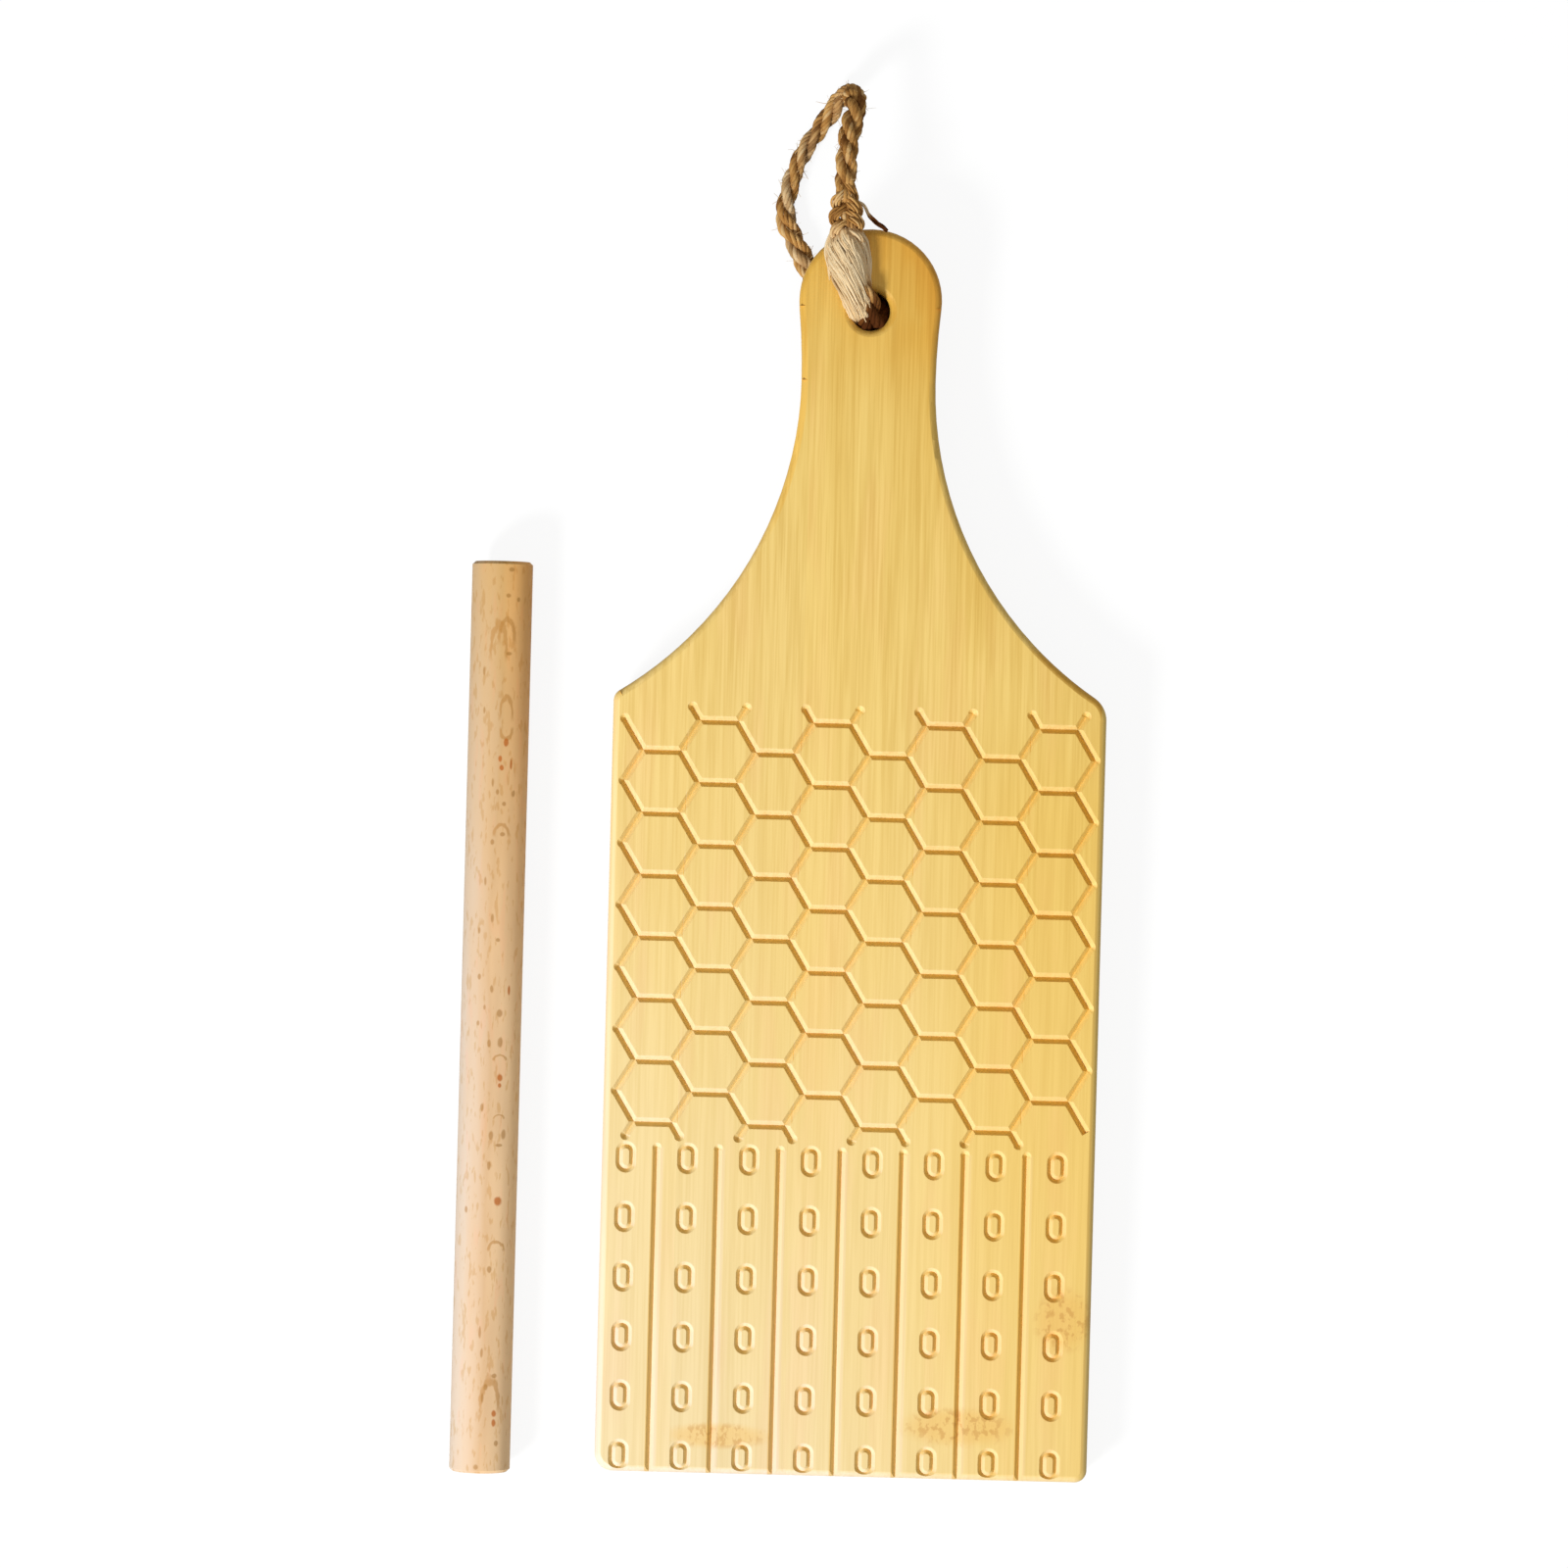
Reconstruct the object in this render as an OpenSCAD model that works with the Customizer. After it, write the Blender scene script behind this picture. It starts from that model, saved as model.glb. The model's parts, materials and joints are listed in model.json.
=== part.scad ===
// Gnocchi board with a hanging cord, and the loose rolling dowel that goes with it.
// The paddle is laminated bamboo: two plies of staves, edge-glued side by side, the joints of
// the back ply set off from those of the face ply. The face carries routed V grooves.
// Frame: X across the paddle, Y towards the handle, Z up from the table. All sizes in mm.
// The cord passes under the handle, so the paddle rests on its lower edge and on the cord.

/* [Paddle] */
// Width of the paddle
board_w = 81; // [77:0.5:88]
// Length of the board, from its lower edge to the end of the handle
board_l = 205; // [200:0.5:225]
// Length of the straight sides, from the lower edge to the shoulders
side_l = 127.8; // [118:0.2:131]
// Thickness of the face ply, which carries the grooves
face_t = 4.5; // [3.5:0.25:7]
// Thickness of the back ply
back_t = 4.5; // [3.5:0.25:7]
// Radius that softens the edges of both faces
edge_r = 1.5; // [0.8:0.1:1.8]
// Radius of the lower left corner
corner_left_r = 3; // [2:0.25:5]
// Radius of the lower right corner
corner_right_r = 2; // [2:0.25:5]
// Radius of the left shoulder
shoulder_left_r = 2; // [2:0.25:6]
// Radius of the right shoulder
shoulder_right_r = 4.5; // [2:0.25:6]

/* [Handle] */
// Radius of the hollow curve from the shoulder to the waist
hollow_r = 61; // [55:0.5:64]
// Width of the handle at its waist
waist_w = 22; // [19:0.25:22.5]
// Width of the handle's round end
end_w = 23.4; // [23:0.1:26]
// Distance of the hanging hole from the end of the handle
hole_inset = 13.4; // [10:0.1:16]
// Diameter of the hanging hole
hole_d = 6.5; // [5:0.1:7]

/* [Staves] */
// Width of one bamboo stave
stave_w = 18.8; // [18.6:0.1:19.2]
// How far the joints of the back ply are set off to the left
back_shift = 4.5; // [4.3:0.1:4.7]

/* [Honeycomb grooves] */
// Columns of cells across the face
comb_columns = 8; // [6:1:10]
// Rows of cells along the face
comb_rows = 7; // [5:1:8]
// Plain border between the cells and the sides
comb_margin = 1.8; // [1:0.1:4]
// How far the honeycomb sits off the centre
comb_shift = 0.2; // [-0.5:0.1:0.5]
// Plain gap between the honeycomb and the strip of lanes
comb_gap = 0.8; // [0.6:0.1:2]
// Length of the cut-off grooves past the first and the last row
comb_stub = 2.2; // [1.6:0.1:3]
// Width of a honeycomb groove at the surface
comb_groove_w = 1.45; // [0.8:0.05:1.8]
// Depth of a honeycomb groove
comb_groove_depth = 0.8; // [0.4:0.05:1.2]

/* [Lanes and ovals] */
// Length of the strip of lanes, from the lower edge
lane_l = 54.6; // [40:0.2:60]
// How far short of the strip's end the lane grooves stop
lane_stop = 1.1; // [1:0.05:1.5]
// Number of lanes across the board
lane_count = 8; // [6:1:9]
// How far the strip of lanes sits off the centre
lane_shift = -1.1; // [-1.5:0.1:1.5]
// Width of a groove between two lanes
lane_groove_w = 1.3; // [0.8:0.05:1.8]
// Depth of a groove between two lanes
lane_groove_depth = 0.75; // [0.4:0.05:1.2]
// Ovals in one lane
oval_count = 6; // [4:1:7]
// Distance from the ends of a lane to the nearest oval's middle
oval_margin = 2.8; // [2.8:0.1:5]
// Width of an oval, along the middle of its groove
oval_w = 2.2; // [1.8:0.1:3]
// Height of an oval, along the middle of its groove
oval_h = 4; // [3.6:0.1:4.4]
// Width of an oval's groove at the surface
oval_groove_w = 1.2; // [0.6:0.05:1.3]
// Depth of an oval's groove
oval_groove_depth = 0.65; // [0.3:0.05:1]

/* [Rolling dowel] */
// Diameter of the dowel
dowel_d = 10; // [8:0.5:14]
// Length of the dowel
dowel_l = 150; // [100:1:200]
// Chamfer at the dowel's ends
dowel_chamfer = 0.5; // [0.2:0.1:1.5]
// Gap between the paddle and the dowel beside it
dowel_gap = 14; // [5:0.5:40]
// How far the dowel's lower end lies past the board's lower edge
dowel_past = 1; // [0:0.5:10]

/* [Cord] */
// Diameter of the twisted cord
cord_d = 3.2; // [2.6:0.1:3.4]
// Diameter of the cord's loose, untwisted ends
tail_d = 2.2; // [1.6:0.1:2.6]
// Clearance between the cord and the underside of the handle
cord_gap = 0.3; // [0.2:0.1:1]

/* [Hidden] */
$fn = 96;
// Overshoot of a cutter past the surface that it cuts
over = 0.5;
// How much wider a cutter's dwell mark is than its groove, on each side
mark_extra = 0.1;
// How far a honeycomb groove runs on past the point where three of them meet
comb_past = 0.1;
// Facets of a small round groove
groove_fn = 32;
// Angle at which the round of an edge meets the face and the side
edge_meets = 14;
// How much smaller the hand-sanded round is on the shoulders and the handle's flare
edge_less = 0.1;
stave_count = 5;
board_t = face_t + back_t;

// Outline of the paddle: the handle's side is a hollow arc below the waist and a long,
// nearly straight arc above it, which runs tangent into the round end.
half_w = board_w / 2;
half_waist = waist_w / 2;
end_r = end_w / 2;
end_y = board_l - end_r;
hollow_x = half_waist + hollow_r;
waist_y = side_l + sqrt(pow(hollow_r, 2) - pow(hollow_x - half_w, 2));
flare_h = end_y - waist_y;
flare_r = (pow(half_waist, 2) + pow(flare_h, 2) - pow(end_r, 2)) / (2 * (end_r - half_waist));
flare_x = half_waist + flare_r;
flare_angle = atan2(flare_h, flare_x);
tangent_y = end_y - end_r * sin(flare_angle);
hole_y = board_l - hole_inset;
hole_r = hole_d / 2;

// Frame: the origin is on the table, below the middle of the paddle and the dowel together.
// The paddle leans on the rounded lower edge by the height of the cord under the handle.
tilt = asin((cord_d + cord_gap) / (hole_y - edge_r));
paddle_reach = edge_r + (board_l - edge_r) * cos(tilt);
span_x = board_w + dowel_gap + dowel_d;
board_x = span_x / 2 - half_w;
board_y = -(paddle_reach - dowel_past) / 2;
dowel_x = dowel_d / 2 - span_x / 2;
dowel_y = board_y - dowel_past;

// Honeycomb: an edge is two thirds of the column spacing, as in a regular hexagon.
comb_pitch = (half_w - comb_margin) / (comb_columns / 2 + 1 / 6);
comb_edge = comb_pitch * 2 / 3;
comb_low = lane_l + comb_gap;
comb_high = side_l - comb_margin;
comb_row = (comb_high - comb_low - 2 * comb_stub) / (comb_rows - 0.5);
stub_share = comb_stub / (comb_row / 2);

lane_pitch = board_w / lane_count;
oval_pitch = (lane_l - 2 * oval_margin) / (oval_count - 1);
// An oval is two half turns and two straight sides.
oval_r = oval_w / 2;
oval_side = oval_h - oval_w;

// Route of the cord in the part's frame: out of the knot behind the handle's end, round the
// loop, along the table under the handle, up through the hole and over the face to the knot.
cord_sides = 8;
loop_route = [
    [7.6, 105.7, 14.4], [7.3, 109.4, 14.3], [7.3, 112.9, 14.1], [7.5, 116.4, 13.8],
    [8.2, 119.7, 13.1], [9.1, 122.4, 11.9], [9.6, 124.3, 10], [9.4, 125.4, 7.7],
    [8.4, 125.4, 5.4], [7, 124.3, 3.5], [5.2, 122.4, 2.3], [3.2, 120.2, 1.8],
    [1.5, 117.8, 1.65], [0.1, 115.1, 1.6], [-1, 112.2, 1.6], [-1.8, 109.1, 1.6],
    [-2.1, 105.9, 1.6], [-1.6, 102.9, 1.6], [-0.3, 100.2, 1.6], [1.6, 97.8, 1.6],
    [3.9, 95.6, 1.6], [6.2, 93.9, 1.65], [8.6, 92.7, 1.75], [10.8, 90.9, 2.7],
    [12.3, 89.3, 4.9], [12.7, 88.5, 7.9], [12.3, 89.1, 11.1], [11.3, 91.2, 13.4],
    [10.5, 94.3, 14.4], [9.5, 97.7, 14.5], [8.4, 101.5, 14.6], [7.6, 105, 14.5]
];
short_tail_route = [[8.6, 105.5, 14.4], [10.6, 105.2, 14.3], [12.8, 104.1, 14.1], [14.7, 102.7, 14]];
frayed_tail_route = [[7, 103.5, 14.4], [5.8, 101.1, 14.3], [5, 98.1, 14], [5, 95.1, 13.9]];
knot_at = [7.7, 104.5, 14.6];
knot_angle = 102;

// Left and right joints of a stave; the outer staves run on past the paddle's sides.
function joint_x(k, shift) = (k == 0) ? -board_w : (k == stave_count) ? board_w
    : (k - stave_count / 2) * stave_w - shift;

// Arcs of the outline: centre, radius, first and last angle, 1 where the wood is outside, and
// 1 where the edge is sanded less round.
function outline_arcs() = let(
        left = shoulder_fillet(shoulder_left_r),
        right = shoulder_fillet(shoulder_right_r)
    ) [
        [0, end_y, end_r, -flare_angle, 180 + flare_angle, 0, 0],
        [flare_x, waist_y, flare_r, 180 - flare_angle, 180, 1, 1],
        [-flare_x, waist_y, flare_r, 0, flare_angle, 1, 1],
        [hollow_x, waist_y, hollow_r, 180, 180 + right[2], 1, 0],
        [-hollow_x, waist_y, hollow_r, -left[2], 0, 1, 0],
        [right[0], right[1], shoulder_right_r, 0, right[2], 0, 1],
        [-left[0], left[1], shoulder_left_r, 180 - left[2], 180, 0, 1],
        [half_w - corner_right_r, corner_right_r, corner_right_r, -90, 0, 0, 0],
        [-half_w + corner_left_r, corner_left_r, corner_left_r, 180, 270, 0, 0],
        [0, hole_y, hole_r, 0, 360, 1, 0]
    ];

// Straight stretches of the outline: start, direction of the outside, and length.
function outline_lines() = let(
        left = shoulder_fillet(shoulder_left_r),
        right = shoulder_fillet(shoulder_right_r)
    ) [
        [half_w, right[1], 0, right[1] - corner_right_r],
        [-half_w, corner_left_r, 180, left[1] - corner_left_r],
        [half_w - corner_right_r, 0, -90, board_w - corner_left_r - corner_right_r]
    ];

// Middle of a shoulder fillet of radius r on the right-hand side, and the angle that it spans.
function shoulder_fillet(r) = let(
        dx = hollow_x - half_w + r,
        dy = sqrt(pow(hollow_r + r, 2) - pow(dx, 2))
    ) [half_w - r, waist_y - dy, atan2(dy, dx)];

function unit(v) = v / norm(v);
function polar(r, a) = [r * cos(a), r * sin(a)];

// Direction of a route at point i, and the ring of points round it.
function heading(p, i) = unit(p[min(i + 1, len(p) - 1)] - p[max(i - 1, 0)]);
function square_to(n, t) = unit(n - (n * t) * t);
function ring(c, t, n, r) = [for (k = [0 : cord_sides - 1])
    let(a = (k + 0.5) * 360 / cord_sides) c + r * (cos(a) * n + sin(a) * cross(t, n))];

// A tube of round section along a route, one closed skin.
module tube(p, d) {
    rings = [for (i = 0, n = square_to([0, 0, 1], heading(p, 0)); i < len(p);
        i = i + 1, n = square_to(n, heading(p, min(i, len(p) - 1)))) ring(p[i], heading(p, i), n, d / 2)];
    last = (len(p) - 1) * cord_sides;
    polyhedron(
        points = [for (r = rings) each r],
        faces = [
            [for (k = [0 : cord_sides - 1]) k],
            for (i = [0 : len(p) - 2], k = [0 : cord_sides - 1])
                let(a = i * cord_sides + k, b = i * cord_sides + (k + 1) % cord_sides)
                    [a, a + cord_sides, b + cord_sides, b],
            [for (k = [cord_sides - 1 : -1 : 0]) last + k]
        ]
    );
}

// Corner left over outside a rounded edge: origin on the outline at the face, X outwards.
// The round meets the face and the side at a slight angle, as a sanded edge does.
module edge_corner(less) {
    r = edge_r - less * edge_less;
    inset = r * cos(edge_meets);
    difference() {
        translate([-inset, -inset])
            square(inset + over);
        translate([-inset, -inset])
            circle(r);
    }
}

// Rounds the face edges of the outline and the hole between two joints, at height z = 0.
module soften_edges(from_x, to_x) {
    for (a = outline_arcs()) {
        ends = [for (t = [0, 0.5, 1]) a[0] + a[2] * cos(a[3] + t * (a[4] - a[3]))];
        if (max(ends) + edge_r > from_x && min(ends) - edge_r < to_x)
            translate([a[0], a[1], 0])
                rotate([0, 0, a[3]])
                    rotate_extrude(angle = a[4] - a[3])
                        translate([a[2], 0])
                            mirror([a[5], 0])
                                edge_corner(a[6]);
    }
    for (s = outline_lines()) {
        end_x = s[0] + s[3] * sin(s[2]);
        if (max(s[0], end_x) + edge_r > from_x && min(s[0], end_x) - edge_r < to_x)
            translate([s[0], s[1], 0])
                rotate([90, 0, s[2]])
                    linear_extrude(s[3])
                        edge_corner(0);
    }
}

// Cuts an outside corner round: a wedge from the fillet's middle, less the fillet's circle.
module corner_waste(c, r, from_a, to_a) {
    reach = 3 * r / cos((to_a - from_a) / 2);
    translate(c)
        difference() {
            polygon([[0, 0], polar(3 * r, from_a), polar(reach, (from_a + to_a) / 2), polar(3 * r, to_a)]);
            circle(r);
        }
}

// Plan of the paddle below the waist, where the handle's hollow sides begin.
module paddle_plan(from_x, to_x) {
    left = shoulder_fillet(shoulder_left_r);
    right = shoulder_fillet(shoulder_right_r);
    x_low = max(from_x, -half_w);
    x_high = min(to_x, half_w);
    difference() {
        translate([x_low, 0])
            square([x_high - x_low, waist_y]);
        for (s = [-1, 1])
            translate([s * hollow_x, waist_y])
                circle(hollow_r);
        if (to_x > half_w) {
            corner_waste([right[0], right[1]], shoulder_right_r, 0, right[2]);
            corner_waste([half_w - corner_right_r, corner_right_r], corner_right_r, -90, 0);
        }
        if (from_x < -half_w) {
            corner_waste([-left[0], left[1]], shoulder_left_r, 180 - left[2], 180);
            corner_waste([corner_left_r - half_w, corner_left_r], corner_left_r, 180, 270);
        }
    }
}

// Plan of the handle above the waist, without its round end.
module flare_plan() {
    difference() {
        translate([-end_r, waist_y])
            square([end_w, tangent_y - waist_y]);
        for (s = [-1, 1])
            translate([s * flare_x, waist_y])
                circle(flare_r);
    }
}

// Plan of one ply between two joints: the board, and above the waist the handle and its end.
module ply_plan(from_x, to_x) {
    paddle_plan(from_x, to_x);
    if (from_x < end_r && to_x > -end_r)
        intersection() {
            union() {
                flare_plan();
                translate([0, end_y])
                    circle(end_r);
            }
            translate([from_x, waist_y])
                square([to_x - from_x, board_l - waist_y + over]);
        }
}

// One ply of the paddle between two joints, with its share of the hanging hole.
module ply(from_x, to_x, t) {
    difference() {
        linear_extrude(t)
            ply_plan(from_x, to_x);
        if (from_x < hole_r && to_x > -hole_r)
            translate([0, hole_y, -over])
                cylinder(r = hole_r, h = t + 2 * over);
    }
}

// A V groove in the face from a to b, cut with flat ends, which run on past the two points.
module groove(a, b, w, depth, from_x, to_x, past_a = 0, past_b = 0) {
    wide = w / 2 * (1 + over / depth);
    start = a - past_a * unit(b - a);
    if (max(a.x, b.x) + w > from_x && min(a.x, b.x) - w < to_x)
        translate([start.x, start.y, 0])
            rotate([90, 0, atan2(b.y - a.y, b.x - a.x) + 90])
                linear_extrude(norm(b - a) + past_a + past_b)
                    polygon([[-wide, over], [wide, over], [0, -depth]]);
}

// The mark that a V cutter leaves where it dwells, a little wider and deeper than its groove.
module cutter_mark(p, w, depth, from_x, to_x) {
    mark_r = w / 2 + mark_extra;
    mark_depth = depth + mark_extra / 2;
    if (p.x + w > from_x && p.x - w < to_x)
        translate([p.x, p.y, -mark_depth])
            cylinder(r1 = 0, r2 = mark_r * (1 + over / mark_depth), h = mark_depth + over, $fn = groove_fn);
}

// Honeycomb of V grooves, open at its first and last row where the routing stops.
module honeycomb(from_x, to_x) {
    for (c = [0 : comb_columns - 1]) {
        x = (c - (comb_columns - 1) / 2) * comb_pitch + comb_shift;
        lift = comb_low + comb_stub + (c % 2) * comb_row / 2;
        for (j = [0 : comb_rows - 1])
            comb_cell_edges(x, lift + j * comb_row, c, j, from_x, to_x);
    }
}

// Grooves that leave one level edge of the honeycomb: the edge and its slanting neighbours.
module comb_cell_edges(x, y, c, j, from_x, to_x) {
    dx = comb_pitch - comb_edge;
    dy = comb_row / 2;
    for (s = [-1, 1]) {
        foot = [x + s * comb_edge / 2, y];
        outermost = (s < 0) ? (c == 0) : (c == comb_columns - 1);
        // A low column meets its neighbours above and below, a high one only at the ends.
        up_share = (c % 2 == 1 && j == comb_rows - 1) ? stub_share : 1;
        down_share = (c % 2 == 0 && j == 0) ? stub_share : 1;
        if (c % 2 == 0 || up_share < 1 || outermost)
            comb_line(foot, foot + up_share * [s * dx, dy], from_x, to_x, !outermost && up_share == 1);
        if (c % 2 == 0 || outermost)
            comb_line(foot, foot + down_share * [s * dx, -dy], from_x, to_x, !outermost && down_share == 1);
        if (up_share < 1)
            comb_mark(foot + up_share * [s * dx, dy], from_x, to_x);
        if (down_share < 1)
            comb_mark(foot + down_share * [s * dx, -dy], from_x, to_x);
        if (outermost)
            comb_mark(foot + [s * dx, dy], from_x, to_x);
    }
    comb_line([x - comb_edge / 2, y], [x + comb_edge / 2, y], from_x, to_x, true);
}

// A groove from one meeting point to another, or to a dead end.
module comb_line(a, b, from_x, to_x, meets) {
    groove(a, b, comb_groove_w, comb_groove_depth, from_x, to_x, comb_past, meets ? comb_past : 0);
}

module comb_mark(p, from_x, to_x) {
    cutter_mark(p, comb_groove_w, comb_groove_depth, from_x, to_x);
}

// Straight grooves between the lanes, open at the lower edge.
module lane_grooves(from_x, to_x) {
    for (i = [1 : lane_count - 1]) {
        x = (i - lane_count / 2) * lane_pitch + lane_shift;
        stop = [x, lane_l - lane_stop];
        groove([x, -over], stop, lane_groove_w, lane_groove_depth, from_x, to_x);
        cutter_mark(stop, lane_groove_w, lane_groove_depth, from_x, to_x);
    }
}

// Ring groove of one oval: a V profile round its two ends and along its two sides.
module oval_groove() {
    lift = oval_groove_depth / 5;
    wide = oval_groove_w * 0.6;
    for (turn = [0, 180])
        rotate([0, 0, turn]) {
            translate([0, oval_side / 2, 0])
                rotate_extrude(angle = 180, $fn = groove_fn)
                    polygon([[oval_r - wide, lift], [oval_r + wide, lift], [oval_r, -oval_groove_depth]]);
            translate([oval_r, oval_side / 2, 0])
                rotate([90, 0, 0])
                    linear_extrude(oval_side)
                        polygon([[-wide, lift], [wide, lift], [0, -oval_groove_depth]]);
        }
}

// Rows of ovals in every lane.
module ovals(from_x, to_x) {
    reach = (oval_w + oval_groove_w) / 2;
    for (i = [0 : lane_count - 1]) {
        x = (i + 0.5 - lane_count / 2) * lane_pitch + lane_shift;
        if (x + reach > from_x && x - reach < to_x)
            for (j = [0 : oval_count - 1])
                translate([x, oval_margin + j * oval_pitch, 0])
                    oval_groove();
    }
}

// Places a piece of the paddle in the part's frame, leaning on its lower edge.
module lay_paddle() {
    translate([board_x, board_y + edge_r, edge_r])
        rotate([tilt, 0, 0])
            translate([0, -edge_r, -edge_r])
                children();
}

// Face ply between two joints with its routed grooves, before its edges are sanded round.
module grooved_ply(from_x, to_x) {
    difference() {
        ply(from_x, to_x, face_t);
        translate([0, 0, face_t])
            honeycomb(from_x, to_x);
        translate([0, 0, face_t])
            lane_grooves(from_x, to_x);
        translate([0, 0, face_t])
            ovals(from_x, to_x);
    }
}

module face_stave(k) {
    from_x = joint_x(k - 1, 0);
    to_x = joint_x(k, 0);
    lay_paddle()
        translate([0, 0, back_t])
            difference() {
                grooved_ply(from_x, to_x);
                translate([0, 0, face_t])
                    soften_edges(from_x, to_x);
            }
}

module back_stave(k) {
    from_x = joint_x(k - 1, back_shift);
    to_x = joint_x(k, back_shift);
    lay_paddle()
        difference() {
            ply(from_x, to_x, back_t);
            mirror([0, 0, 1])
                soften_edges(from_x, to_x);
        }
}

module face_stave_1() {
    color("wheat") face_stave(1);
}

module face_stave_2() {
    color("burlywood") face_stave(2);
}

module face_stave_3() {
    color("wheat") face_stave(3);
}

module face_stave_4() {
    color("burlywood") face_stave(4);
}

module face_stave_5() {
    color("wheat") face_stave(5);
}

module back_stave_1() {
    color("burlywood") back_stave(1);
}

module back_stave_2() {
    color("wheat") back_stave(2);
}

module back_stave_3() {
    color("burlywood") back_stave(3);
}

module back_stave_4() {
    color("wheat") back_stave(4);
}

module back_stave_5() {
    color("burlywood") back_stave(5);
}

// Beech dowel that lies on the table beside the paddle.
module rolling_dowel() {
    r = dowel_d / 2;
    color("peachpuff")
        translate([dowel_x, dowel_y, r])
            rotate([-90, 0, 0])
                rotate_extrude()
                    polygon([
                        [0, 0], [r - dowel_chamfer, 0], [r, dowel_chamfer],
                        [r, dowel_l - dowel_chamfer], [r - dowel_chamfer, dowel_l], [0, dowel_l]
                    ]);
}

module cord_loop() {
    color("tan") tube(loop_route, cord_d);
}

// Knot that joins the two ends of the loop: two turns of cord round a core.
module cord_knot() {
    turn_r = cord_d / 2 - 0.15;
    core_r = turn_r + 0.1;
    color("tan")
        translate(knot_at)
            rotate([0, 0, knot_angle])
                rotate([0, 90, 0]) {
                    for (s = [-1, 1])
                        translate([0, 0, s * turn_r * 0.8])
                            rotate_extrude()
                                translate([core_r, 0])
                                    circle(turn_r, $fn = groove_fn);
                    cylinder(r = core_r, h = 3 * turn_r, center = true);
                }
}

module cord_tail_short() {
    color("sienna") tube(short_tail_route, tail_d);
}

module cord_tail_frayed() {
    color("bisque") tube(frayed_tail_route, tail_d);
}

face_stave_1();
face_stave_2();
face_stave_3();
face_stave_4();
face_stave_5();
back_stave_1();
back_stave_2();
back_stave_3();
back_stave_4();
back_stave_5();
rolling_dowel();
cord_loop();
cord_knot();
cord_tail_short();
cord_tail_frayed();
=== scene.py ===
"""Looks of a bamboo gnocchi board, its hanging twine and its loose beech dowel.

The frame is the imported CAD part: metres, X across the board, Y towards the handle, Z up from the
table. Wood keeps its CAD shape and gets grown grain; the twine is built here yarn by yarn.
"""

import json
import logging
import math
from dataclasses import dataclass, field
from enum import Enum
from typing import Any

import bpy
import numpy as np
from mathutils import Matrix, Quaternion, Vector
from numpy.typing import NDArray

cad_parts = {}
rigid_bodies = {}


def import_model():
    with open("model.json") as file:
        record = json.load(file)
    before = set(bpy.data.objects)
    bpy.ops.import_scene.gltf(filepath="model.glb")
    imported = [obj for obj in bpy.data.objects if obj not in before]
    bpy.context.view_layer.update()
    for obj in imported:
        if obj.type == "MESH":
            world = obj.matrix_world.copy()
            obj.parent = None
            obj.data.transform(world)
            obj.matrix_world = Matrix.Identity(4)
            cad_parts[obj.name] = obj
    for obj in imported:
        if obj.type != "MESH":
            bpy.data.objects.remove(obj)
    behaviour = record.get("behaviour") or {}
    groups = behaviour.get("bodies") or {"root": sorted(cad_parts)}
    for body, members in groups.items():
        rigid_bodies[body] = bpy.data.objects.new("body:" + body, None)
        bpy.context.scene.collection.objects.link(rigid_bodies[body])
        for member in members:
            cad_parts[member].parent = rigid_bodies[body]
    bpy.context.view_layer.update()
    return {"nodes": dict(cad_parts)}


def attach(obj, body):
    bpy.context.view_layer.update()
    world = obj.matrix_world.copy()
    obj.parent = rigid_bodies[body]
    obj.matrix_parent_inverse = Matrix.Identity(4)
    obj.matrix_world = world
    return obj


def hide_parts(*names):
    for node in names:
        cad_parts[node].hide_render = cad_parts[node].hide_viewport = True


Array = NDArray[np.float64]
Color = tuple[float, float, float, float]
Point = tuple[float, float, float]
MM = 0.001
PADDLE = "paddle"
LOG = logging.getLogger("gnocchi_board")

# The least length that a vector is taken to have when it is scaled to 1.
TINY = 1e-12
# The plane of the grooved face is z cos(lean) - y sin(lean) = offset.
LEAN_COS = 0.999831
LEAN_SIN = 0.018411
FACE_OFFSET = 10.8498 * MM
# Where the grooved field ends, short of the shoulders and of the right edge.
FIELD_TOP = 33.0 * MM
FIELD_RIGHT = 51.5 * MM
# The long grooves: one of them, their spacing, their upper ends, and the reach of all seven.
LANE_X = 10.9 * MM
LANE_PITCH = 10.125 * MM
LANE_TOP = -48.4 * MM
LANES_LEFT = -26.0 * MM
LANES_RIGHT = 46.5 * MM

ZERO = (0.0, 0.0, 0.0)
UP = (0.0, 0.0, 1.0)
GRAIN_OUTPUTS = {"Color": "Color", "Roughness": "Float", "Height": "Float"}


def srgb(code: str, level: float = 1.0) -> Color:
    """Turn a six-digit sRGB code into a linear colour.

    Args:
        code: Six hexadecimal digits.
        level: What the linear colour is divided by.

    Returns:
        Linear red, green, blue and full alpha.
    """
    parts = np.array([int(code[i : i + 2], 16) for i in (0, 2, 4)]) / 255.0
    linear = np.where(parts <= 0.04045, parts / 12.92, ((parts + 0.055) / 1.055) ** 2.4) / level
    return (float(linear[0]), float(linear[1]), float(linear[2]), 1.0)


def metres(*lengths: float) -> tuple[float, ...]:
    """Turn lengths in millimetres into metres."""
    return tuple(length * MM for length in lengths)


def unit(vectors: Array) -> Array:
    """Scale vectors, along the last axis, to the length 1."""
    return vectors / np.maximum(np.linalg.norm(vectors, axis=-1, keepdims=True), TINY)


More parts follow.
